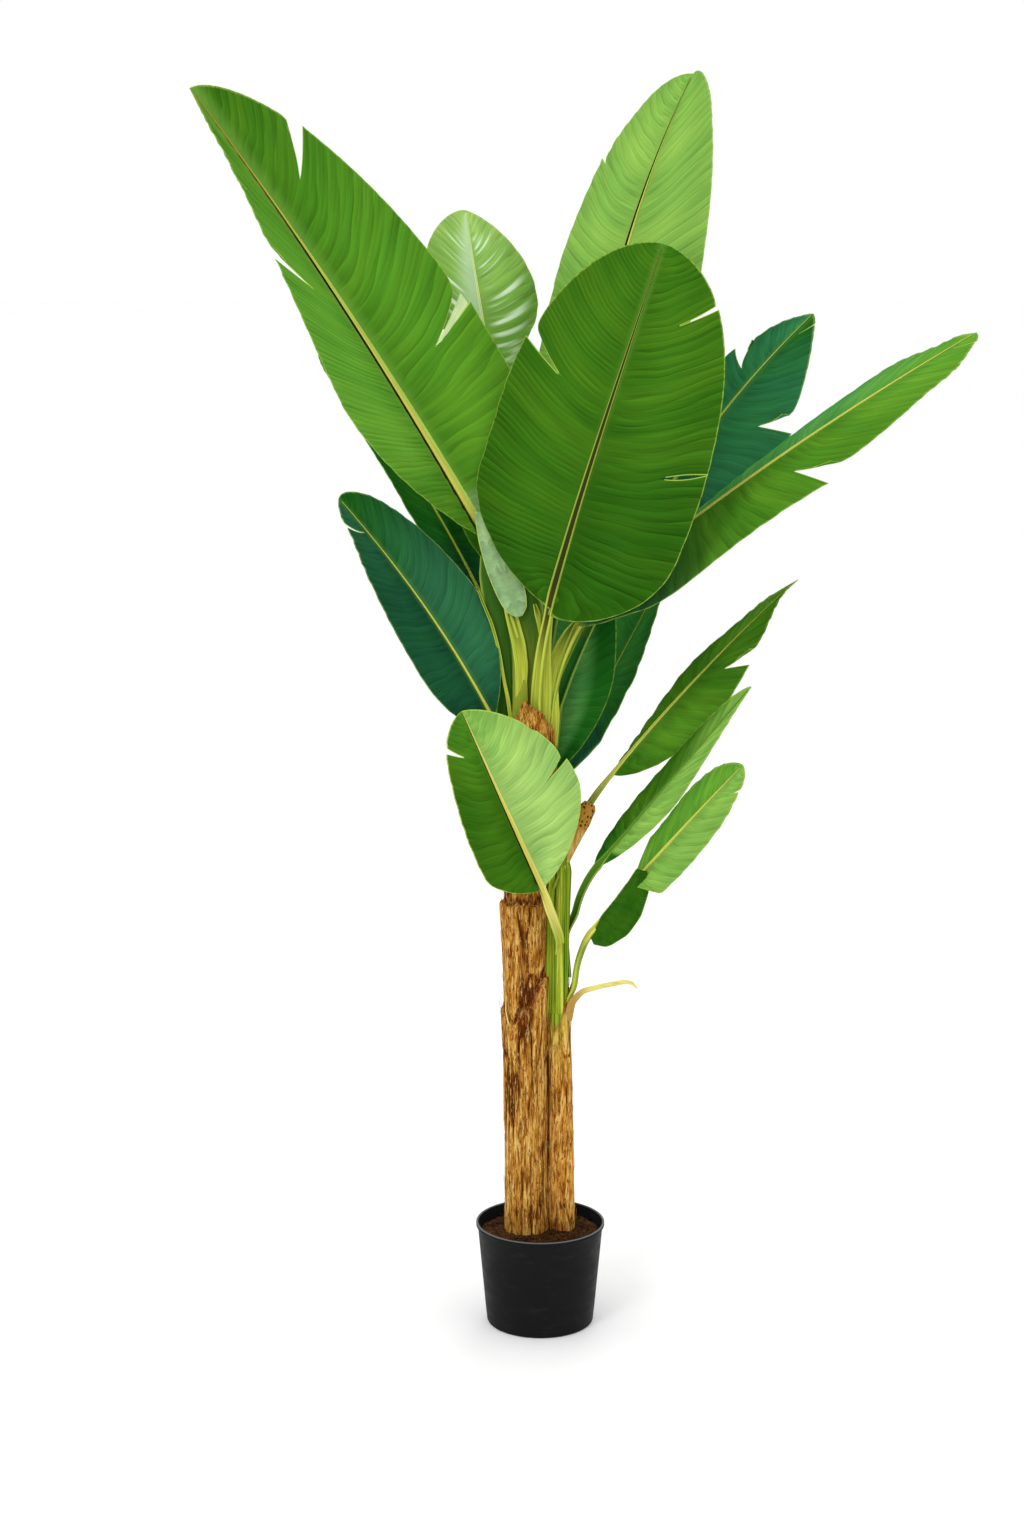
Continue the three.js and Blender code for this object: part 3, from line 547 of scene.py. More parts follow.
def blade_surface(spine, side_name, vein, share, widen):
    """Middle surface of one half at each vein and share of the way to the margin."""
    made, length = spine.leaf[side_name], spine.leaf["blade"]
    at_rib = vein * length
    run = SWEEP * np.clip(vein, 0, 1) ** VEIN_BEND * (1 - vein) * length
    at_margin = at_rib + run - made["lobe"] * (1 - vein) ** LOBE_FADE
    q = (at_margin + made["lobe"]) / (length + made["lobe"])
    narrow, back = kinked(spine.leaf["kink"], side_name, vein)
    reach = (made["width"] + widen) * span(q, made) * narrow
    s = at_rib + (at_margin - back - at_rib) * share ** VEIN_CURVE
    _, side, upper = spine.frames(s)
    fold = fold_at(spine.leaf, side_name, vein)
    bends = 12
    step = reach * share / bends
    out, lift = np.zeros_like(step), np.zeros_like(step)
    for i in range(bends):
        angle = np.radians(fold + CURL * (i + 0.5) * step / made["width"])
        out += np.cos(angle) * step
        lift += np.sin(angle) * step
    sign = 1 if side_name == "left" else -1
    return spine.at(s) + side * (sign * out)[..., None] + upper * lift[..., None], reach


def pleat_height(made, vein, share, seed):
    """Ripples along the veins and a slow wave at the margin, in millimetres."""
    place = vein * made["blade"]
    drift = smooth_noise(place / 60, share * 1.5, seed, seed)
    size = 0.65 + 0.5 * smooth_noise(place / 90, share * 2.2, 9, seed + 3)
    wave = smooth_noise(place / 75, share * 0.8, 4, seed + 7)
    wide = WIDE_PLEAT[1] * np.sin(2 * np.pi * (place / WIDE_PLEAT[0] + 0.45 * drift))
    fine = FINE_PLEAT[1] * np.sin(2 * np.pi * (place / FINE_PLEAT[0] + 0.8 * drift))
    rise = eased(share, 0.0, 0.16) * eased(vein, 0.0, 0.05)
    near_tip = 1 - 0.75 * eased(vein, 0.75, 1.0)
    pleats = rise * near_tip * size * (wide + fine)
    return pleats, pleats + made["wave"] * wave * share ** 2 * near_tip


def row_places(start, end, length):
    """Veins from start to end, closer together at the leaf's foot and tip."""
    rows = max(3, round((end - start) * length / ROW_EVERY))
    share = np.linspace(0, 1, rows + 1)
    if start == 0.0:
        share = share ** 1.5
    if end == 1.0:
        share = 1 - (1 - share) ** 1.4
    return start + (end - start) * share


def parted(made, torn, vein, share, bank):
    """How a bank of a tear moves, and how far each point is from the torn edge.

    The moves are along the leaf, as a share of it, and outwards and upwards in millimetres.
    """
    root = round(torn["depth"] * COLUMNS) / COLUMNS
    opened = np.clip((share - root) / (1 - root), 0, 1)
    away = np.abs(vein - torn["at"]) * made["blade"]
    gone = np.sin(np.pi * opened) if torn["slit"] else opened
    near = np.exp(-away / 40)
    shift = bank * gone * near * torn["open"] / (2 * made["blade"])
    widen = torn["flare"] * near * opened if bank < 0 else -1.3 * torn["open"] * gone * np.exp(-away / 9)
    edge = np.where(opened > 0, away, FAR)
    return shift, widen * (0 if torn["slit"] else 1), -bank * 1.6 * gone * near, edge


def tear_moves(made, tears, start, end, vein, share):
    """What the tears at a block's two ends do to it: its three moves, and its distance from a torn edge."""
    moves = np.zeros((3, *vein.shape))
    torn_edge = np.full_like(vein, FAR)
    for torn in tears:
        if torn["at"] in (start, end):
            *moved, edge = parted(made, torn, vein, share, 1 if torn["at"] == start else -1)
            moves += np.array(moved)
            torn_edge = np.minimum(torn_edge, edge)
    return *moves, torn_edge


def half_grid(spine, side_name, seed):
    """One half as blocks of rows between tears: points, quads, places, and distances from edges."""
    made = spine.leaf
    tears = sorted((t for t in made["tears"] if t["side"] == side_name), key=lambda t: t["at"])
    shares = np.linspace(0, 1, COLUMNS + 1)
    cuts = [0.0] + [t["at"] for t in tears] + [1.0]
    sign = 1 if side_name == "left" else -1
    points, places, edges, faces = [], [], [], []
    last_row = None
    for k, (start, end) in enumerate(zip(cuts, cuts[1:])):
        vein, share = np.meshgrid(row_places(start, end, made["blade"]), shares, indexing="ij")
        shift, widen, lift, torn_edge = tear_moves(made, tears, start, end, vein, share)
        surface, reach = blade_surface(spine, side_name, vein + shift, share, widen)
        pleats, height = pleat_height(made, vein, share, seed)
        normal = unit(np.cross(np.gradient(surface, axis=0), np.gradient(surface, axis=1)))
        surface = surface + normal * (sign * (height + lift) * eased(reach, 2, 14))[..., None]
        index = np.arange(vein.size).reshape(vein.shape) + len(points)
        points += surface.reshape(-1, 3).tolist()
        places += stacked(sign * share, vein * made["blade"] / 100, pleats).reshape(-1, 3).tolist()
        edges += (stacked(reach * share, reach * (1 - share), torn_edge) / 10).reshape(-1, 3).tolist()
        if k:
            root = round(tears[k - 1]["depth"] * COLUMNS)
            index[0, :root + 1] = last_row[:root + 1]
        last_row = index[-1].copy()
        corners = [index[:-1, :-1], index[1:, :-1], index[1:, 1:], index[:-1, 1:]]
        faces += np.stack(corners[::sign], -1).reshape(-1, 4).tolist()
    return points, faces, places, edges


def welded(points, faces, places, edges, close=1e-3):
    """Joins points that lie together and drops the ones that no face uses."""
    keys = np.round(np.asarray(points) / close).astype(np.int64)
    _, first, back = np.unique(keys, axis=0, return_index=True, return_inverse=True)
    back = back.ravel()
    faces = [tuple(dict.fromkeys(int(back[i]) for i in f)) for f in faces]
    faces = [f for f in faces if len(f) > 2]
    used = np.unique(np.concatenate([np.array(f) for f in faces]))
    order = {int(u): n for n, u in enumerate(used)}
    faces = [tuple(order[i] for i in f) for f in faces]
    kept = first[used]
    return np.asarray(points)[kept], faces, np.asarray(places)[kept], np.asarray(edges)[kept]


def make_blade(name, spine, seed):
    """The leaf's blade, both halves with their pleats and tears."""
    points, faces, places, edges = [], [], [], []
    for side_name in ("left", "right"):
        more, quads, where, near = half_grid(spine, side_name, seed)
        faces += [tuple(i + len(points) for i in f) for f in quads]
        points += more
        places += where
        edges += near
    points, faces, places, edges = welded(points, faces, places, edges)
    marks = [("leaf_place", places), ("leaf_edge", edges)]
    return make_sheet(name + "_blade", points, faces, BLADE_THICK, marks)


def make_flap(name, spine, torn, width):
    """The curled pale lip along one tear."""
    rows, columns = 36, 7
    outward = np.linspace(torn["depth"], 1, rows)
    share, across = np.meshgrid(outward, np.linspace(0, 1, columns), indexing="ij")
    opened = (share - torn["depth"]) / (1 - torn["depth"])
    shift = torn["open"] * opened / (2 * spine.leaf["blade"])
    tip_bank, _ = blade_surface(spine, torn["side"], torn["at"] + shift, share, 0)
    foot_bank, _ = blade_surface(spine, torn["side"], torn["at"] - shift - 0.01, share, 0)
    over = unit(foot_bank - tip_bank)
    normal = unit(np.cross(over, np.gradient(tip_bank, axis=0)))
    if normal[rows // 2, columns // 2, 1] > 0:
        normal = -normal
    reach = width * opened ** 0.8 * across
    ripple = smooth_noise(share * 14, across, 0, 70)
    curl = 2.4 * np.sin(np.pi * across) * opened + 0.7 * ripple * across
    sheet = tip_bank + over * reach[..., None] + normal * (curl + 1.0)[..., None]
    marks = [
        ("leaf_place", stacked(-share, torn["at"] * spine.leaf["blade"] / 100 + 0.12 * across, ripple)),
        ("leaf_edge", stacked(5, 0.8 * (1 - across), 5)),
    ]
    return make_sheet(name, sheet, grid_faces(rows, columns), 0.8, marks, 60)


def carried_back(spine, along):
    """Side and upper directions along the leaf: the blade's own, and from its foot carried down the stalk."""
    travel, side, upper = spine.frames(np.maximum(along, 0))
    travel = directions(*spine.angles(along))
    first = int(np.argmax(along >= 0))
    for i in range(first - 1, -1, -1):
        carried = side[i + 1] - travel[i] * np.dot(side[i + 1], travel[i])
        side[i] = carried / np.linalg.norm(carried)
        upper[i] = np.cross(travel[i], side[i])
    return side, upper


def rib_profile(count=8):
    """A channelled stalk's outline: x and y in half widths, and a mark, 1 at its lips and less between."""
    keel = [math.pi + math.pi * k / count for k in range(count + 1)]
    outline = [(math.cos(t), math.sin(t), 1.1 + 0.9 * math.sin(-t)) for t in keel]
    inside = [(0.86, 0.36, 1.0), (0.66, 0.28, 0.85), (0.48, 0.04, 0.4), (0.16, 0.0, 0.1)]
    outline += inside + [(-x, y, place) for x, y, place in reversed(inside)]
    return np.array(outline)


def stalk_line(made, spine):
    """A stalk and midrib's middle line, from inside the stem to near the tip, with its directions."""
    stalk, blade = made["stalk"], made["blade"]
    along = np.concatenate([
        np.linspace(-stalk, 0, max(8, stalk // 6))[:-1], np.linspace(0, blade * 0.985, blade // 7),
    ])
    side, upper = carried_back(spine, along)
    middle = spine.at(along)
    base = np.linspace(SUNK_OVER, 5, 9)
    middle = np.concatenate([middle[0] - unit(middle[1] - middle[0]) * base[:, None], middle])
    side, upper = (np.concatenate([np.repeat(v[:1], len(base), axis=0), v]) for v in (side, upper))
    along = np.concatenate([-stalk - base, along])
    sunk = eased(-stalk - along, -made["merge"], SUNK_OVER - made["merge"])
    middle += sunk[:, None] * np.array(made["inward"])
    rise = np.clip((along + stalk) / stalk, 0, 1)
    turn = np.radians(made["twist"]) * (1 - eased(rise, 0.1, 1.0))[:, None]
    side, upper = side * np.cos(turn) + upper * np.sin(turn), upper * np.cos(turn) - side * np.sin(turn)
    return along, rise, middle, side, upper


def stalk_sizes(made, along, rise):
    """A stalk and midrib's half width, its depth, and how high its lips stand."""
    low, high = made["radii"]
    onward = np.clip(along, 0, None) / made["blade"]
    rib_foot = high * 0.92 * made["rib_wide"]
    foot = max(rib_foot, high * made["wing"])
    winged = (foot - rib_foot) * np.exp(-onward * made["blade"] / 22)
    tapered = rib_foot * np.clip(1 - onward, 0, 1) ** 1.2 + 0.5 + winged
    wide = np.where(along < 0, low * (1 + made["sheath"]) * (1 - rise) + foot * rise, tapered)
    deep = np.where(along < 0, low + (high - low) * rise, high * (1 - onward) + 0.3)
    return wide, deep, np.minimum(wide, high) * 0.8


def make_stalk(name, made, spine):
    """The leaf's stalk and midrib in one piece, channelled above and rounded below."""
    along, rise, middle, side, upper = stalk_line(made, spine)
    wide, deep, lip = (size[:, None] for size in stalk_sizes(made, along, rise))
    along, rise = along[:, None], rise[:, None]
    left, up, mark = rib_profile().T
    x = wide * left
    y = np.where(up >= 0, lip, deep) * up + BLADE_THICK * 1.25 * eased(along, -40, -4)
    y -= np.where(mark < 0.5, 0.35 * lip * (1 - eased(along, -60, -10)), 0.0)
    vein = np.clip(along / made["blade"], 0, 1)
    folds = [np.clip(fold_at(made, side_name, vein), -60, 60) for side_name in ("left", "right")]
    fold = np.radians(np.where(x > 0, *folds) * eased(along, -40, 5))
    x, y = x * np.cos(fold), y + np.abs(x) * np.sin(fold)
    rings = middle[:, None] + side[:, None] * x[..., None] + upper[:, None] * y[..., None]
    points, faces = closed_tube(rings)
    marks = [("rib_place", stacked(mark, along / 100, rise)), ("rib_left", np.broadcast_to(left, x.shape))]
    return make_mesh(name + "_stalk", points, faces, marks, 70)


# Materials

def node(tree, kind, inputs=(), **settings):
    """A shader or geometry node, with its settings and its inputs by name or number."""
    made = tree.nodes.new(kind)
    for label, value in settings.items():
        setattr(made, label, value)
    for label, value in dict(inputs).items():
        socket = made.inputs[label]
        if isinstance(value, bpy.types.NodeSocket):
            tree.links.new(value, socket)
        else:
            socket.default_value = value
    return made


def linked(kind, inputs, **settings):
    """A node in the tree that its inputs come from."""
    tree = next(value.id_data for value in inputs.values() if isinstance(value, bpy.types.NodeSocket))
    return node(tree, kind, inputs, **settings)


def maths(operation, a, b=0.0):
    """The outcome of one sum or comparison."""
    return linked("ShaderNodeMath", {0: a, 1: b}, operation=operation).outputs[0]


def blended(factor, a, b):
    """Two colours mixed. Each is a value, a socket or the name of a paint."""
    a, b = (paint(colour) if isinstance(colour, str) else colour for colour in (a, b))
    return linked("ShaderNodeMix", {0: factor, 6: a, 7: b}, data_type="RGBA").outputs[2]


def ranged(value, low, high, to_low=0.0, to_high=1.0):
    """A value brought smoothly from one range to another, and kept within it."""
    sockets = {0: value, 1: low, 2: high, 3: to_low, 4: to_high}
    return linked("ShaderNodeMapRange", sockets, interpolation_type="SMOOTHSTEP").outputs[0]


def noise_of(vector, detail=3.0, rough=0.55, distortion=0.0):
    """Noise at places that are already scaled."""
    sockets = {"Vector": vector, "Scale": 1.0, "Detail": detail, "Roughness": rough, "Distortion": distortion}
    return linked("ShaderNodeTexNoise", sockets).outputs[0]


def vector_of(x=0.0, y=0.0, z=0.0):
    return linked("ShaderNodeCombineXYZ", {0: x, 1: y, 2: z}).outputs[0]


def object_place(tree):
    return node(tree, "ShaderNodeTexCoord").outputs["Object"]


def stretched(tree, scale):
    """Object coordinates, scaled along each axis."""
    return node(tree, "ShaderNodeMapping", {"Vector": object_place(tree), "Scale": scale}).outputs[0]


def grain_of(tree, scale, *settings):
    """Noise over the whole object, scaled along each axis."""
    return noise_of(stretched(tree, scale), *settings)


def split(vector):
    return linked("ShaderNodeSeparateXYZ", {0: vector}).outputs


def split_attribute(tree, name):
    return split(node(tree, "ShaderNodeAttribute", attribute_name=name).outputs["Vector"])


def new_material(name, gloss):
    """An empty material: its tree and its surface shader, which reflects by gloss."""
    material = bpy.data.materials.new(name)
    material.use_nodes = True
    tree = material.node_tree
    tree.nodes.clear()
    shader = node(tree, "ShaderNodeBsdfPrincipled", {"Specular IOR Level": gloss})
    node(tree, "ShaderNodeOutputMaterial", {"Surface": shader.outputs[0]})
    return material, tree, shader


def finish(shader, colour, rough, height, relief, strength=0.5):
    """Links a colour, a roughness and a bump of a real height to the shader."""
    bump = linked("ShaderNodeBump", {"Strength": strength, "Distance": relief * MM, "Height": height})
    for label, value in (("Base Color", colour), ("Roughness", rough), ("Normal", bump.outputs[0])):
        shader.id_data.links.new(value, shader.inputs[label])


def toned(colour, value, hue=0.5):
    """A colour made lighter or darker, and turned in hue."""
    sockets = {"Hue": hue, "Saturation": 1.0, "Value": value, "Color": colour}
    return linked("ShaderNodeHueSaturation", sockets).outputs[0]


def product(*factors):
    """Several factors multiplied."""
    return reduce(lambda a, b: maths("MULTIPLY", a, b), factors)


def summed(*terms):
    """Several terms added."""
    return reduce(lambda a, b: maths("ADD", a, b), terms)


def vein_noise(away, along, seed, cross_scale, along_scale, detail=3.0):
    """Noise drawn out along the veins."""
    place = vector_of(product(away, cross_scale), product(along, along_scale), seed)
    return noise_of(place, detail)


def half_colour(share, away, made):
    """One half's colour from its foot to its tip, and a painted shadow band towards its margin."""
    foot, body, tip = made["paints"].split()
    colour = blended(ranged(share, *made["turns"]), foot, body)
    colour = blended(ranged(share, 0.45, 1.0), colour, tip)
    if made["outer"]:
        name, start, end = made["outer"]
        colour = blended(ranged(away, start, end), colour, name)
    return colour


def pleat_shades(made, seed, away, along, on_left):
    """The painted shade and highlight of the wide and of the small pleats, from dark to light across each."""
    pitches = [1 / pitch for pitch in reversed(made["pitch"])]
    count = product(along, ranged(on_left, 0.0, 1.0, *pitches))
    drift = product(vein_noise(away, along, seed + 7, 1.4, 1.6, 1.0), 2.2)
    from_middle = ranged(away, 0.02, 0.2)
    shades = []
    for often, patch_seed, patch_scale, least, strength in (
        (1.0, 11, 5.0, 0.25, 0.34 * made["crisp"]), (2.7, 13, 6.0, 0.2, 0.2),
    ):
        folds = maths("FRACT", summed(product(count, often), drift))
        patch = vein_noise(away, along, seed + patch_seed, 1.3, patch_scale, 1.0)
        strong = ranged(patch, 0.35, 0.65, least, 1.0)
        shades.append(product(maths("SUBTRACT", folds, 0.5), strong, from_middle, strength))
    return shades


def glossed(colour, seed, away, along, on_left):
    """A colour under a bright broken reflection of the room."""
    lit = ranged(vein_noise(away, along, seed + 3, 0.7, 13.0, 0.5), 0.5, 0.72, 0.0, 0.95)
    middle = product(ranged(away, 0.06, 0.3), ranged(away, 0.97, 0.6))
    soft = product(on_left, ranged(away, 0.65, 0.15), 0.5)
    return blended(maths("MAXIMUM", product(lit, middle), soft), colour, paint("frost", 1.2))


def leaf_material(name, made, seed):
    """Leaf cloth: streaks along the veins; painted shade and highlight in lines on the pleats, along the rib
    and as a sheen; a painted reflection on glossy leaves; light margins and torn edges.
    """
    material, tree, shader = new_material(name, 0.0)
    across, along, pleat = split_attribute(tree, "leaf_place")
    from_rib, from_margin, from_tear = split_attribute(tree, "leaf_edge")
    away = maths("ABSOLUTE", across)
    share = maths("DIVIDE", along, made["blade"] / 100)
    on_left = maths("GREATER_THAN", across, 0.0)
    left, right = (half_colour(share, away, made[side]) for side in ("left", "right"))
    streak = vein_noise(away, along, seed, 1.1, 13.0)
    hair = vein_noise(away, along, seed, 2.5, 62.0, 2.0)
    band = vein_noise(away, along, seed + 20, 0.8, 2.2, 1.0)
    pleat_shading, fine_pleat_shading = pleat_shades(made, seed, away, along, on_left)
    # A painted sheen: a little lighter in the middle of each half, darker near the rib and the margin.
    painted_sheen = ranged(maths("ABSOLUTE", maths("SUBTRACT", away, 0.5)), 0.4, 0.0, -0.04, 0.09)
    # The pleat term is painted shade in the pleats' hollows and highlight on their crests; the pleat shading
    # adds crisp shaded lines along the folds.
    value = summed(
        ranged(streak, 0.3, 0.7, 0.95, 1.05), ranged(hair, 0.3, 0.7, -0.06, 0.06),
        ranged(band, 0.3, 0.7, -0.07, 0.09), ranged(pleat, -1.2, 1.2, -0.1, 0.08),
        pleat_shading, fine_pleat_shading, painted_sheen,
    )
    hue = ranged(band, 0.3, 0.7, 0.506, 0.494)
    colour = toned(blended(on_left, right, left), value, hue)
    # A painted highlight along the rib, in light green, fading out towards the margin.
    strength, reach = made["glow"]
    colour = blended(ranged(from_rib, 0.0, reach, strength, 0.0), colour, "light")
    if made["gloss"]:
        colour = glossed(colour, seed, away, along, on_left)
    # A light line along the margins and the torn edges, broken into patches by the streaks.
    patchy = ranged(streak, 0.35, 0.6, 0.35, 1.0)
    rim = product(ranged(from_margin, 0.05, 0.16, made["edge"], 0.0), patchy)
    torn = ranged(from_tear, 0.04, 0.15, 0.75, 0.0)
    colour = blended(maths("MAXIMUM", rim, torn), colour, "margin")
    height = summed(product(hair, 0.3), product(streak, 0.6), product(pleat_shading, 3.0))
    finish(shader, colour, ranged(streak, 0.2, 0.8, 0.36, 0.55), height, 0.7, 0.45)
    return material


def stalk_material(name, made, seed):
    """Coated stalk: lengthwise streaks, pale lips, and a channel painted dark as shade or a painted shadow
    line along the blade.
    """
    material, tree, shader = new_material(name, 0.08)
    across, along, rise = split_attribute(tree, "rib_place")
    left = node(tree, "ShaderNodeAttribute", attribute_name="rib_left").outputs["Fac"]
    low, high = made["stalk_paints"].split()
    streak_place = vector_of(product(left, 4.0), product(across, 3.0), product(along, 1.6))
    fibre = noise_of(node(tree, "ShaderNodeVectorMath", {0: streak_place, 1: (seed, 0, 0)}).outputs[0])
    on_blade = ranged(along, -0.3, 0.2)
    colour = blended(ranged(rise, 0.1, 0.9), low, high)
    colour = blended(on_blade, colour, made["rib_paint"])
    value = summed(ranged(fibre, 0.3, 0.7, 0.75, 1.15), product(on_blade, 0.2))
    keel = product(ranged(across, 1.2, 1.7), ranged(on_blade, 0.0, 1.0, 0.65, 0.3))
    colour = blended(keel, toned(colour, value), "olive")
    lip = product(ranged(across, 0.72, 0.95), ranged(across, 1.25, 1.02), 0.45)
    colour = blended(lip, colour, "margin")
    # Painted shade in the groove: the channel's inside takes the channel paint, which is dark on the front
    # leaf and on the crown strips.
    inside = product(ranged(across, 0.72, 0.5), ranged(rise, 0.35, 0.9), 0.92)
    colour = blended(inside, colour, made["channel"])
    # A painted shadow line: the shade between the rib and a folded half, as a dark stripe along one side of
    # the rib on the blade.
    if made["dark_line"]:
        inner = maths("SUBTRACT", left, ranged(along, 0.0, made["blade"] / 100, *made["dark_line"]))
        line = product(ranged(inner, 0.0, 0.12), on_blade)
        colour = blended(line, colour, paint("channel", 0.3))
        near_tip = ranged(along, made["blade"] / 180, made["blade"] / 100, 0.0, made["ochre"])
        colour = blended(near_tip, colour, "ochre")
    finish(shader, colour, ranged(fibre, 0.2, 0.8, 0.4, 0.55), fibre, 0.6, 0.4)
    return material


def bark_material(name, light):
    """Dry sheath fibre: fine streaks from dark brown to straw, painted shade in its hollows and cracks,
    reddish torn edges and a green share.
    """
    material, tree, shader = new_material(name, 0.0)
    relief, torn, green = split_attribute(tree, "bark_place")
    long_fibre = grain_of(tree, (270, 270, 18), 4.0, 0.6, 0.5)
    fine_fibre = grain_of(tree, (900, 900, 45), 3.0, 0.6)
    patch = grain_of(tree, (36, 36, 13), 3.0)
    # Painted shade: the relief terms darken the bark where it lies low, in cracks, dents, the hollows above
    # torn tops and the clefts between parts.
    mix = summed(
        product(long_fibre, 0.9), product(fine_fibre, 0.5), product(patch, 0.5),
        ranged(relief, -2.4, 0.4, -0.3, 0.03), ranged(relief, -3.0, -1.5, -0.3, 0.0), -0.42,
    )
    ramp = node(tree, "ShaderNodeValToRGB", {0: mix})
    stops = ((0.36, "bark_dark"), (0.46, "bark"), (0.58, "bark_gold"), (0.72, "straw"))
    for n, (where, colour_name) in enumerate(stops):
        stop = ramp.color_ramp.elements[n] if n < 2 else ramp.color_ramp.elements.new(where)
        stop.position = where
        stop.color = paint(colour_name)
    fleck = grain_of(tree, (420, 420, 75), 4.0, 0.7, 0.8)
    pale = grain_of(tree, (260, 260, 45), 4.0, 0.65)
    dry = blended(ranged(pale, 0.52, 0.68, 0.0, 0.85), ramp.outputs[0], "straw")
    dry = blended(ranged(fleck, 0.52, 0.6, 0.0, 0.95), dry, "rust")
    stripe = grain_of(tree, (260, 260, 3), 3.0)
    leafy = blended(ranged(stripe, 0.36, 0.48), "stem_dark", "stem_green")
    leafy = blended(ranged(stripe, 0.53, 0.66), leafy, "stem_light")
    leafy = blended(ranged(fine_fibre, 0.46, 0.36, 0.0, 0.35), leafy, "olive")
    colour = blended(green, toned(dry, light), leafy)
    red = product(torn, ranged(patch, 0.35, 0.6, 0.2, 0.7))
    colour = blended(red, colour, "red_edge")
    height = summed(long_fibre, product(fine_fibre, 0.5), product(fleck, -0.6))
    finish(shader, colour, ranged(long_fibre, 0.3, 0.7, 0.75, 0.92), height, 1.6, 0.7)
    return material


def fibre_material():
    """Loose fibres on the stems, from brown to gold."""
    material, tree, shader = new_material("bark_fibre", 0.06)
    patch = grain_of(tree, (120, 120, 60), 2.0)
    colour = blended(ranged(patch, 0.35, 0.65), "bark", "bark_gold")
    finish(shader, colour, ranged(patch, 0.2, 0.8, 0.8, 0.92), patch, 0.2, 0.2)
    return material


def straw_material():
    """A dry strip of leaf: pale, streaked along its length, and red brown where it leaves the stem."""
    material, tree, shader = new_material("straw", 0.0)
    right = split(object_place(tree))[0]
    fibre = grain_of(tree, (60, 500, 500), 3.0)
    colour = blended(ranged(fibre, 0.2, 0.5), "bark_gold", paint("cream", 0.9))
    near_stem = product(ranged(right, 0.0, 20 * MM), ranged(right, 78 * MM, 44 * MM, 0.0, 0.75))
    colour = blended(near_stem, colour, "bark")
    finish(shader, colour, ranged(fibre, 0.2, 0.8, 0.7, 0.85), fibre, 0.6)
    return material


def coir_material(name, light):
    """Coconut fibre, dark between the strands, with a few golden crumbs."""
    material, tree, shader = new_material(name, 0.08)
    crumb = grain_of(tree, (220, 220, 220), 4.0, 0.7)
    patch = grain_of(tree, (28, 28, 28), 2.0)
    mix = summed(product(crumb, 0.7), product(patch, 0.4))
    colour = blended(ranged(mix, 0.42, 0.72), "coir_dark", paint("coir", light))
    grit = grain_of(tree, (480, 480, 480), 2.0)
    colour = blended(ranged(grit, 0.62, 0.7, 0.0, 0.8), colour, paint("bark_gold", light))
    finish(shader, colour, ranged(crumb, 0.2, 0.8, 0.8, 0.95), crumb, 2.5, 0.9)
    return material


def pot_material():
    """Matt black moulded plastic, faintly mottled, with a painted highlight in pale grey along the rim."""
    material, tree, shader = new_material("pot_plastic", 0.06)
    height = split(object_place(tree))[2]
    grain = grain_of(tree, (900, 900, 900), 2.0)
    scuff = grain_of(tree, (30, 30, 90), 5.0, 0.7)
    colour = blended(ranged(scuff, 0.5, 0.8, 0.0, 0.05), "pot", "pot_edge")
    # Painted highlight: a pale band along the top of the rim.
    rim_highlight = ranged(height, (POT["height"] - 1.6) * MM, (POT["height"] - 0.2) * MM, 0.0, 0.8)
    colour = blended(rim_highlight, colour, "pot_edge")
    finish(shader, colour, ranged(scuff, 0.3, 0.7, 0.42, 0.6), grain, 0.25, 0.35)
    return material


def pith_material():
    """The cut face of the old leaf base: tan pith with brown pores."""
    material, tree, shader = new_material("pith", 0.1)
    pores = node(tree, "ShaderNodeTexVoronoi", {"Vector": stretched(tree, (210, 210, 150)), "Scale": 1.0})
    fibre = grain_of(tree, (300, 300, 40), 3.0)
    cut = split_attribute(tree, "bark_place")[1]
    body = blended(ranged(fibre, 0.35, 0.65), "bark_gold", "straw")
    apart = pores.outputs["Distance"]
    face = blended(ranged(apart, 0.22, 0.46), "bark_dark", "bark_gold")
    colour = blended(cut, body, face)
    height = summed(product(apart, cut), fibre)
    finish(shader, colour, ranged(fibre, 0.3, 0.7, 0.7, 0.9), height, 1.5, 0.8)
    return material


# Stems

def bark_relief(theta, height, radius, seed):
    """Fibres, lumps and cracks of a dry stem, in millimetres out from its round."""
    x, y = np.cos(theta) * radius, np.sin(theta) * radius
    lumps = smooth_noise(x / 24, y / 24, height / 85, seed)
    ropes = smooth_noise(x / 5.2, y / 5.2, height / 55, seed + 1)
    fibres = smooth_noise(x / 2.2, y / 2.2, height / 24, seed + 2)
    cleft = 1 - np.abs(smooth_noise(x / 13, y / 13, height / 120, seed + 3)) / 0.09
    return 1.3 * lumps + 0.95 * ropes + 0.5 * fibres - 1.9 * np.clip(cleft, 0, 1)


def wrapped(degrees):
    """A bearing from -180 to 180."""
    return (degrees + 180) % 360 - 180


def at_bearing(table, theta, **ends):
    """A height read from a table of bearings and heights."""
    bearings, heights = zip(*table)
    return np.interp(wrapped(np.degrees(theta)), bearings, heights, **ends)


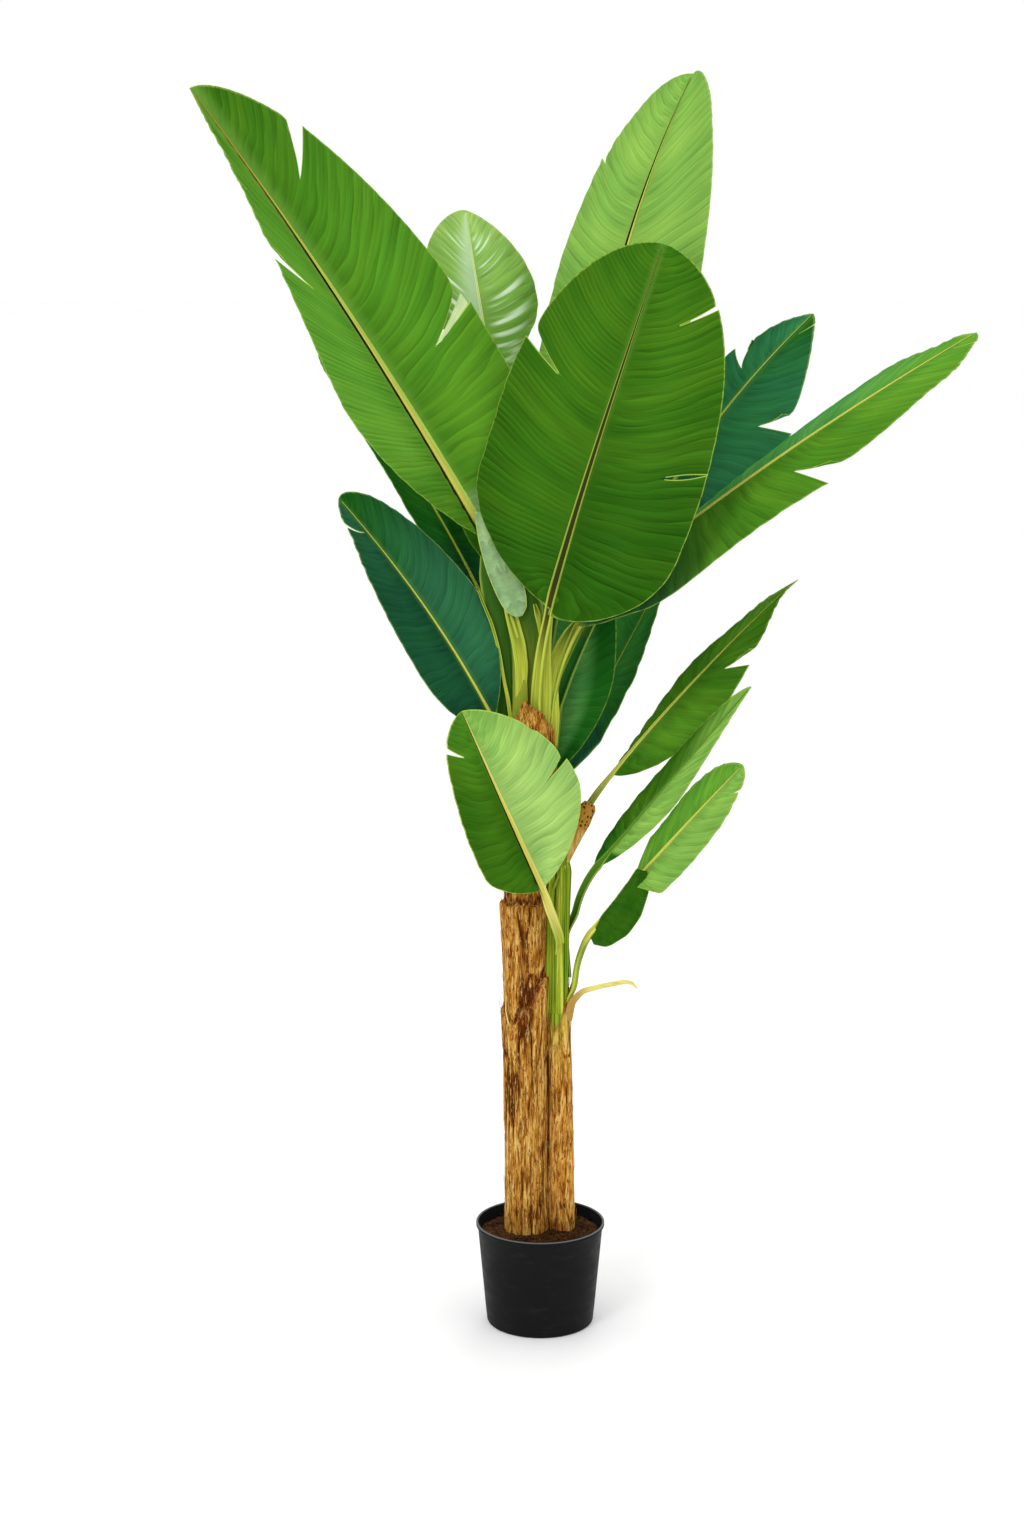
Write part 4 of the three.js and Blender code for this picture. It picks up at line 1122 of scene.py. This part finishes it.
def main_sheaths(theta, height):
    """Old sheaths on the main stem: how far they stand out or sink in, each sunk part painted darker as
    shade, how near a torn top edge is, and no green.
    """
    ragged = 5 * smooth_noise(np.cos(theta) * 6, np.sin(theta) * 6, 0, 40)
    low_top = at_bearing(LOW_SHEATH_TOP, theta) + 0.6 * ragged
    out, torn = np.zeros_like(height), np.zeros_like(height)
    for top, thick, grip in ((low_top, 4.6, 120), (HIGH_SHEATH_TOP + ragged, 1.4, 90)):
        below = top - height
        out += np.where(below > 0, thick * np.exp(-np.clip(below, 0, None) / grip) * eased(below, 0, 7), 0)
        out -= 3.4 * np.exp(-np.clip(-below, 0, None) / 10) * (below <= 0)
        torn = np.maximum(torn, 0.6 * np.exp(-np.abs(below) / 3))
    wedge_top = at_bearing(HIGH_SHEATH_END, theta, left=0, right=0) + 0.5 * ragged
    out -= 2.2 * eased(height - low_top, 0, 3) * eased(wedge_top - height, 0, 5)
    for bearing, middle, wide, tall, depth in DENTS:
        across = wrapped(np.degrees(theta) - bearing) / wide
        out -= depth * np.exp(-across ** 2 - ((height - middle) / tall) ** 2)
    return out, torn, np.zeros_like(out)


def cleft_sheaths(_, height):
    """What lies deep between the stems: bark below, green above, the bark set as a hollow so that it is
    painted darker as shade.
    """
    return np.full_like(height, -1.0), np.zeros_like(height), eased(height, 458, 476)


def side_sheaths(theta, height):
    """Old sheaths on the side stem, left longest on its right side, and its green share above them."""
    ragged = 8 * smooth_noise(np.cos(theta) * 5, np.sin(theta) * 5, 0, 60)
    below = at_bearing(SIDE_SHEATH_TOP, theta) + 0.4 * ragged - height
    torn = np.exp(-np.abs(below) / 3)
    tint = 0.5 * np.exp(-np.clip(below, 0, None) / 35)
    return np.where(below > 0, 0.8, -0.6), torn, np.maximum(eased(-below, -3, 2), tint)


def make_stem(name, rings, sheaths, around, row_every, seed, top_dome):
    """A stem's surface with its relief, closed above and below."""
    foot, head = rings[0][0], rings[-1][0]
    heights = np.linspace(foot, head, round((head - foot) / row_every) + 1)
    theta, height = np.meshgrid(np.linspace(0, 2 * np.pi, around, endpoint=False), heights)
    radius, middle = ring_at(rings, height)
    out, torn, green = sheaths(theta, height)
    relief = bark_relief(theta, height, radius, seed) * (1 - 0.72 * green) + np.minimum(out, 0) * 0.9
    ridges = np.sin(theta * 9 + height / 90) * green * 0.7
    body = radius - 1.2 + np.maximum(out, 0) + relief + ridges
    body *= 1 - 0.35 * eased(height, head - top_dome, head) ** 2
    points, faces = closed_tube(stacked(middle + body * np.cos(theta), body * np.sin(theta), height))
    loose = (0.35 + 4 * torn + 1.5 * eased(height, foot + 60, foot)) * (1 - green)
    marks = [("bark_place", stacked(relief, torn, green)), ("loose", loose)]
    return make_mesh(name, points, faces, marks, 80)


def make_sheath(name, shape, seed):
    """A torn sheath round the crown, fibrous, with a frayed top edge."""
    around, upwards = 96, 34
    bearing = np.linspace(shape["from"], shape["to"], around)
    before, after = shape["peak_at"] - shape["from"], shape["to"] - shape["peak_at"]
    fall = np.abs(bearing - shape["peak_at"]) / np.where(bearing < shape["peak_at"], before, after)
    x, y = np.cos(np.radians(bearing)), np.sin(np.radians(bearing))
    ragged = 7 * smooth_noise(x * 8, y * 8, 0, seed) + 4 * smooth_noise(x * 24.8, y * 24.8, 0, seed + 1)
    top = shape["peak"] + (shape["low"] - shape["peak"]) * fall ** 1.05 + ragged
    height = shape["foot"] + (top - shape["foot"]) * np.linspace(0, 1, upwards)[:, None]
    grown = (height - shape["foot"]) / (shape["peak"] - shape["foot"])
    ropes = smooth_noise(x * 11, y * 11, height / 26, seed + 2)
    relief = ropes + 0.5 * smooth_noise(x * 26, y * 26, height / 14, seed + 3)
    radius = shape["radius"] + shape["flare"] * grown + 0.9 * relief
    sheet = stacked(CROWN["middle"] + radius * x, (radius + shape["forward"] * grown) * y, height)
    torn = 0.25 * np.exp((height - top) / 7) + np.exp((bearing - shape["to"]) / 9)
    marks = [("bark_place", stacked(relief, np.clip(torn, 0, 1), shape["green"]))]
    return make_sheet(name, sheet, grid_faces(upwards, around), shape["thick"], marks, 70)


def make_stub():
    """The swollen base of a cut leaf, leaning out from the side stem, with an oval porous end."""
    root, end = np.array(STUB["root"]), np.array(STUB["end"])
    share = np.linspace(0, 1, 44)[:, None]
    middle = root + (end - root) * share
    middle[:, :1] -= STUB["bend"] * share * (1 - share)
    lean = np.radians(STUB["lean"] * share)
    theta = np.linspace(0, 2 * np.pi, 48, endpoint=False)
    bumps = smooth_noise(np.cos(theta) * 4, np.sin(theta) * 4, share * 7, 80)
    reach = np.interp(share, list(STUB_RADII), list(STUB_RADII.values())) * (1 + 0.07 * bumps)
    rings = middle[:, None] + stacked(np.cos(lean), 0, -np.sin(lean)) * (reach * np.cos(theta))[..., None]
    rings[..., 1] += STUB["flat"] * reach * np.sin(theta)
    points, faces = closed_tube(rings)
    marks = [("bark_place", stacked(bumps, eased(share, 0.5, 0.62), 0))]
    return make_mesh("leaf_base_stub_body", points, faces, marks, 60)


def smoothed(values, times):
    """A row of values, each drawn towards its neighbours, with its ends kept."""
    for _ in range(times):
        values[1:-1] = (values[:-2] + 2 * values[1:-1] + values[2:]) / 4
    return values


def make_ribbon(name, strip, thick=1.2, turns=(90, 90), cup=0.22):
    """A strip along a smooth path, turning about its own line, with the marks of a leaf and of a stalk."""
    rows, columns = 60, 9
    path, widths = (np.array(values, float) for values in strip)
    knots, share = np.linspace(0, 1, len(path)), np.linspace(0, 1, rows)
    middle = smoothed(stacked(*(np.interp(share, knots, values) for values in path.T)), 6)
    width = smoothed(np.interp(share, knots, widths), 3)[:, None]
    share, cross = share[:, None], np.linspace(-1, 1, columns)
    travel = unit(np.gradient(middle, axis=0))
    level = unit(np.cross(travel, [0, 1, 0]))
    turn = np.radians(turns[0] + (turns[1] - turns[0]) * share)
    side = np.cross(travel, level) * np.cos(turn) + level * np.sin(turn)
    upper = np.cross(side, travel)
    out, rise = (width / 2 * cross)[..., None], (width / 2 * cup * cross ** 2)[..., None]
    sheet = middle[:, None] + side[:, None] * out + upper[:, None] * rise
    along = share * np.linalg.norm(np.diff(path, axis=0), axis=1).sum() / 100
    marks = [
        ("leaf_place", stacked(cross, along, 0)),
        ("leaf_edge", stacked(5, (1 - np.abs(cross)) * width / 20, 5)),
        ("rib_place", stacked(0.1 + 0.9 * np.abs(cross), -1 - along, share)),
        ("rib_left", np.broadcast_to(cross, (rows, columns))),
    ]
    return make_sheet(name, sheet, grid_faces(rows, columns), thick, marks, 70)


# Pot and fill

def revolved(name, profile, sides):
    """A profile of radius and height turned about the pot's axis. It starts and ends on the axis."""
    profile = np.array(profile, float)
    theta = np.linspace(0, 2 * np.pi, sides, endpoint=False)
    radius, height = profile[1:-1, :1], profile[1:-1, 1:]
    rings = stacked(radius * np.cos(theta), radius * np.sin(theta), height)
    points = np.concatenate([rings.reshape(-1, 3), [[0, 0, profile[0, 1]], [0, 0, profile[-1, 1]]]])
    faces = grid_faces(len(rings), sides, closed=True)
    low, high = len(points) - 2, len(points) - 1
    last = (len(rings) - 1) * sides
    faces += [(low, (j + 1) % sides, j) for j in range(sides)]
    faces += [(high, last + j, last + (j + 1) % sides) for j in range(sides)]
    return make_mesh(name, points, faces, smooth_below=40)


def arc(middle, radius, start, end, steps=6):
    """Points of a round edge in a profile."""
    turns = np.radians(np.linspace(start, end, steps))
    return [(middle[0] + radius * math.cos(t), middle[1] + radius * math.sin(t)) for t in turns]


def pot_radius(height):
    return POT["base"] + (POT["top"] - POT["lip"] - POT["base"]) * height / POT["height"]


def make_pot():
    """The nursery pot: a recessed foot, a tapered wall and a thin rolled rim."""
    height, top, wall, floor, rim, soft = (POT[k] for k in ("height", "top", "wall", "floor", "rim", "round"))
    foot = pot_radius(0)
    under = height - rim
    profile = [(0, 1.2), (foot - 16, 1.2), (foot - 14, 0.2), (foot - 12, 0)]
    profile += arc((foot - soft, soft), soft, -90, -4)
    profile += [(pot_radius(h), h) for h in (20, 60, 100, under - 2)]
    profile += arc((top - 1.2, under + 1.2), 1.2, -90, 0, 4)
    profile += arc((top - 1.1, height - 1.1), 1.1, 0, 90, 5)
    profile += arc((top - wall + 0.2, height - 1.1), 1.1, 90, 180, 5)
    profile += [(pot_radius(under) - wall, under - 1), (pot_radius(60) - wall, 60)]
    profile += [(pot_radius(floor + soft) - wall, floor + soft), (foot - wall - soft, floor), (0, floor)]
    return revolved("pot_shell", profile, 144)


def make_coir_bed():
    """The loose top of the fill, heaped a little round the stems."""
    sides, rounds = 160, 64
    edge = pot_radius(FILL_TOP) - POT["wall"] - 0.5
    turns = np.linspace(0, 2 * np.pi, sides, endpoint=False)
    theta, radius = np.meshgrid(turns, np.linspace(1, edge, rounds))
    x, y = radius * np.cos(theta), radius * np.sin(theta)
    lumps = smooth_noise(x / 16, y / 16, 0, 90) + 0.6 * smooth_noise(x / 5, y / 5, 0, 91)
    grit = smooth_noise(x / 2, y / 2, 0, 92)
    from_stems = (np.hypot(x - middle, y) - stem for _, stem, middle in (MAIN_RINGS[0], SIDE_RINGS[0]))
    heap = np.clip(sum(np.exp(-np.clip(away, 0, None) / 9) for away in from_stems), 0, 1)
    height = FILL_TOP + 1.8 * lumps + 0.8 * grit + 4 * heap - 3 * eased(radius, edge - 8, edge)
    foot = POT["floor"] + GAP
    base = pot_radius(foot) - POT["wall"] - POT["round"]
    low = stacked(base * np.cos(theta[:1]), base * np.sin(theta[:1]), foot)
    points, faces = closed_tube(np.concatenate([low, stacked(x, y, height)[::-1]]))
    loose = np.concatenate([np.zeros((1, sides)), np.where(radius < edge - 13, 1.0, 0.0)[::-1]])
    return make_mesh("coir_bed", points, faces, [("loose", loose)], 70)


# Strands by Geometry Nodes

def strand_tree():
    """Scatters short bent strands over a surface, by how loose it is at each place."""
    tree = bpy.data.node_groups.new("strands", "GeometryNodeTree")
    add = tree.interface.new_socket
    add("Geometry", in_out="INPUT", socket_type="NodeSocketGeometry")
    add("Geometry", in_out="OUTPUT", socket_type="NodeSocketGeometry")
    for label in ("Density", "Length", "Thickness", "Bend"):
        add(label, in_out="INPUT", socket_type="NodeSocketFloat")
    for label in ("Turn Low", "Turn High"):
        add(label, in_out="INPUT", socket_type="NodeSocketVector")
    add("Seed", in_out="INPUT", socket_type="NodeSocketInt")
    add("Material", in_out="INPUT", socket_type="NodeSocketMaterial")
    given = node(tree, "NodeGroupInput").outputs
    loose = node(tree, "GeometryNodeInputNamedAttribute", {"Name": "loose"}, data_type="FLOAT").outputs[0]
    spread = {"Mesh": given["Geometry"], "Density": product(given["Density"], loose), "Seed": given["Seed"]}
    scattered = node(tree, "GeometryNodeDistributePointsOnFaces", spread)
    middle = vector_of(given["Bend"], 0.0, product(given["Length"], 0.5))
    end = vector_of(0.0, 0.0, given["Length"])
    path = {"Resolution": 4, "Start": (0, 0, 0), "Middle": middle, "End": end}
    line = node(tree, "GeometryNodeCurveQuadraticBezier", path)
    round_of = node(tree, "GeometryNodeCurvePrimitiveCircle", {"Resolution": 3, "Radius": given["Thickness"]})
    tube = {"Curve": line.outputs[0], "Profile Curve": round_of.outputs[0], "Fill Caps": True}
    strand = node(tree, "GeometryNodeCurveToMesh", tube)
    between = {0: given["Turn Low"], 1: given["Turn High"], "Seed": given["Seed"]}
    turn = node(tree, "FunctionNodeRandomValue", between, data_type="FLOAT_VECTOR")
    size = node(tree, "FunctionNodeRandomValue", {2: 0.4, 3: 1.3, "Seed": given["Seed"]}, data_type="FLOAT")
    put = {
        "Points": scattered.outputs[0], "Instance": strand.outputs[0],
        "Rotation": turn.outputs[0], "Scale": size.outputs[1],
    }
    placed = node(tree, "GeometryNodeInstanceOnPoints", put)
    real = node(tree, "GeometryNodeRealizeInstances", {0: placed.outputs[0]})
    done = node(tree, "GeometryNodeSetMaterial", {"Geometry": real.outputs[0], "Material": given["Material"]})
    node(tree, "NodeGroupOutput", {0: done.outputs[0]})
    return tree


def make_strands(name, surface, tree, material, sizes):
    """Strands over a surface, as a plain mesh."""
    carrier = place_object(name + "_carrier", surface.data.copy())
    modifier = carrier.modifiers.new("strands", "NODES")
    modifier.node_group = tree
    values = {**sizes, "Material": material}
    for item in tree.interface.items_tree:
        if item.in_out == "INPUT" and item.name in values:
            modifier[item.identifier] = values[item.name]
    bpy.context.view_layer.update()
    evaluated = carrier.evaluated_get(bpy.context.evaluated_depsgraph_get())
    mesh = bpy.data.meshes.new_from_object(evaluated)
    mesh.name = name
    bpy.data.objects.remove(carrier)
    return place_object(name, mesh)


# Stage, camera and light

def make_camera():
    data = bpy.data.cameras.new("camera")
    data.lens, data.sensor_width = CAMERA["lens"], CAMERA["sensor"]
    camera = place_object("camera", data)
    camera.location = CAMERA["place"]
    camera.rotation_euler = (math.radians(CAMERA["tilt"]), 0, 0)
    bpy.context.scene.camera = camera


def make_floor():
    """A wide plain pale floor."""
    sides, reach = 96, 40000
    turns = np.linspace(0, 2 * np.pi, sides, endpoint=False)
    rim = stacked(reach * np.cos(turns), reach * np.sin(turns), 0)
    floor = make_mesh("floor", rim, [tuple(range(sides))])
    material, tree, shader = new_material("floor", 0.2)
    grain = grain_of(tree, (3, 3, 3), 2.0)
    colour = blended(grain, "floor", paint("floor", 0.995))
    finish(shader, colour, ranged(grain, 0, 1, 0.85, 0.95), grain, 0.1, 0.05)
    floor.data.materials.append(material)


def add_lamp(name, place, size, watts):
    data = bpy.data.lights.new(name, "AREA")
    data.shape, data.size, data.energy = "DISK", size, watts
    lamp = place_object(name, data)
    lamp.location = place
    lamp.rotation_euler = (Vector(LAMP_AIM) - Vector(place)).to_track_quat("-Z", "Y").to_euler()


def make_light():
    """Soft studio light: a bright room, a broad key from the front left, a fill and a light from behind."""
    world = bpy.data.worlds.new("studio")
    world.use_nodes = True
    back = world.node_tree.nodes["Background"]
    back.inputs[0].default_value = (1.0, 1.0, 1.0, 1.0)
    back.inputs[1].default_value = 1.0
    bpy.context.scene.world = world
    bpy.context.scene.view_settings.view_transform = "Standard"
    for name, lamp in LAMPS.items():
        add_lamp(name, *lamp)


# The plant

def one_colour(name):
    """A half of one colour, for a strip that stands for part of a leaf."""
    return half(1, (0, 0), 0.5, 1, 1, 0, " ".join([name] * 3))


def dress_leaves():
    """Every leaf's blade and stalk, and the pale lip of one tear."""
    for number, (name, made) in enumerate(LEAVES.items()):
        slot = "leaf_dark" if name in DARK_LEAVES else "leaf_pale" if name in PALE_LEAVES else "leaf_green"
        seed = 3.0 * number
        spine = Spine(made)
        blade = make_blade(name, spine, 11 + 5 * number)
        hand_over(blade, leaf_material(name + "_cloth", made, seed), slot, name)
        stalk = make_stalk(name, made, spine)
        hand_over(stalk, stalk_material(name + "_coat", made, seed), "green_stem", name)
        if made["flap"]:
            lip = {**made, "right": {**made["right"], "paints": "lip lip lip"}}
            flap = make_flap(name + "_flap", spine, made["tears"][-1], made["flap"])
            hand_over(flap, leaf_material(name + "_lip", lip, seed), slot, name)


def dress_stems():
    """The stems and the sheaths round the crown. Gives back the two stems, which carry loose fibres."""
    bark, side_bark = bark_material("bark", 1.0), bark_material("side_bark", 1.13)
    main = make_stem("main_stem_bark", MAIN_RINGS, main_sheaths, 170, 2, seed=20, top_dome=14)
    hand_over(main, bark, "bark", "main_stem")
    side = make_stem("side_stem_bark", SIDE_RINGS, side_sheaths, 110, 2, seed=30, top_dome=26)
    hand_over(side, side_bark, "green_stem", "side_stem")
    cleft = make_stem("cleft_bark", CLEFT_RINGS, cleft_sheaths, 60, 4, seed=35, top_dome=10)
    hand_over(cleft, bark, "bark", "main_stem")
    hand_over(make_sheath("crown_sheath_bark", FRONT_SHEATH, 50), bark, "bark", "crown_sheath")
    hand_over(make_sheath("crown_sheath_rear", REAR_SHEATH, 55), bark, "bark", "main_stem")
    hand_over(make_sheath("crown_sheath_inner", INNER_SHEATH, 58), bark, "green_stem", "main_stem")
    return main, side


def dress_pot():
    """The pot and its fill. Gives back the fill, which carries loose coir."""
    hand_over(make_pot(), pot_material(), "pot_plastic", "pot")
    bed = make_coir_bed()
    hand_over(bed, coir_material("coir_bed", 0.8), "coir_fill", "pot_fill")
    return bed


def dress_strands(bed, main, side):
    """Loose coir on the fill and frayed fibres on the stems."""
    tree = strand_tree()
    flat = {
        "Density": 150000.0, "Length": 0.013, "Thickness": 0.00022, "Bend": 0.004,
        "Turn Low": (1.1, 0.0, 0.0), "Turn High": (1.75, 0.5, 6.283), "Seed": 5,
    }
    coir = coir_material("coir_strand", 1.3)
    hand_over(make_strands("coir_strands", bed, tree, coir, flat), coir, "coir_fill", "pot_fill")
    upright = {
        "Density": 14000.0, "Length": 0.02, "Thickness": 0.00025, "Bend": 0.0016,
        "Turn Low": (-0.13, -0.13, 0.0), "Turn High": (0.13, 0.13, 6.283), "Seed": 8,
    }
    fibre = fibre_material()
    for name, stem in (("main_stem", main), ("side_stem", side)):
        hand_over(make_strands(name + "_fibres", stem, tree, fibre, upright), fibre, "bark", name)


def dress_strips():
    """Leaf sheaths and strips of painted shade in the crown, the lobe and the fold of two leaves, the cut
    leaf's stub, and dry strips.
    """
    for name, (path, widths, paints) in CROWN_RIBBONS.items():
        look = {**PLAIN_LOOKS, "stalk_paints": paints, "channel": "olive_dark", "blade": 100}
        coat = stalk_material(name + "_coat", look, 2.0)
        hand_over(make_ribbon(name, (path, widths)), coat, "green_stem", "main_stem")
    waxy, dark = one_colour("waxy"), one_colour("deep")
    look = {**LEAVES["leaf_high_left"], "left": waxy, "right": waxy, "edge": 0.9, "pitch": (0.3, 0.3)}
    lobe = make_ribbon("leaf_high_left_lobe", WAXY_LOBE, BLADE_THICK, cup=0.15)
    hand_over(lobe, leaf_material("leaf_high_left_wax", look, 1.0), "leaf_green", "leaf_high_left")
    # The fold shows the underside, painted deep green for the shade it lies in.
    look = {**LEAVES["leaf_side_low"], "left": dark, "right": dark, "pitch": (0.12, 0.12)}
    fold = make_ribbon("leaf_side_low_fold", FOLDED_FOOT, BLADE_THICK, cup=0.12)
    hand_over(fold, leaf_material("leaf_side_low_shaded_underside", look, 4.0), "leaf_green", "leaf_side_low")
    hand_over(make_stub(), pith_material(), "bark", "leaf_base_stub")
    straw = straw_material()
    hand_over(make_ribbon("dry_strip_curl", DRY_CURL, 1.0, (60, 110)), straw, "straw", "dry_strip")
    hand_over(make_ribbon("dry_strand", DRY_STRAND, 0.8, (0, 60)), straw, "straw", "main_stem")


make_camera()
dress_leaves()
main_piece, side_piece = dress_stems()
dress_strips()
bed_piece = dress_pot()
dress_strands(bed_piece, main_piece, side_piece)
make_floor()
make_light()
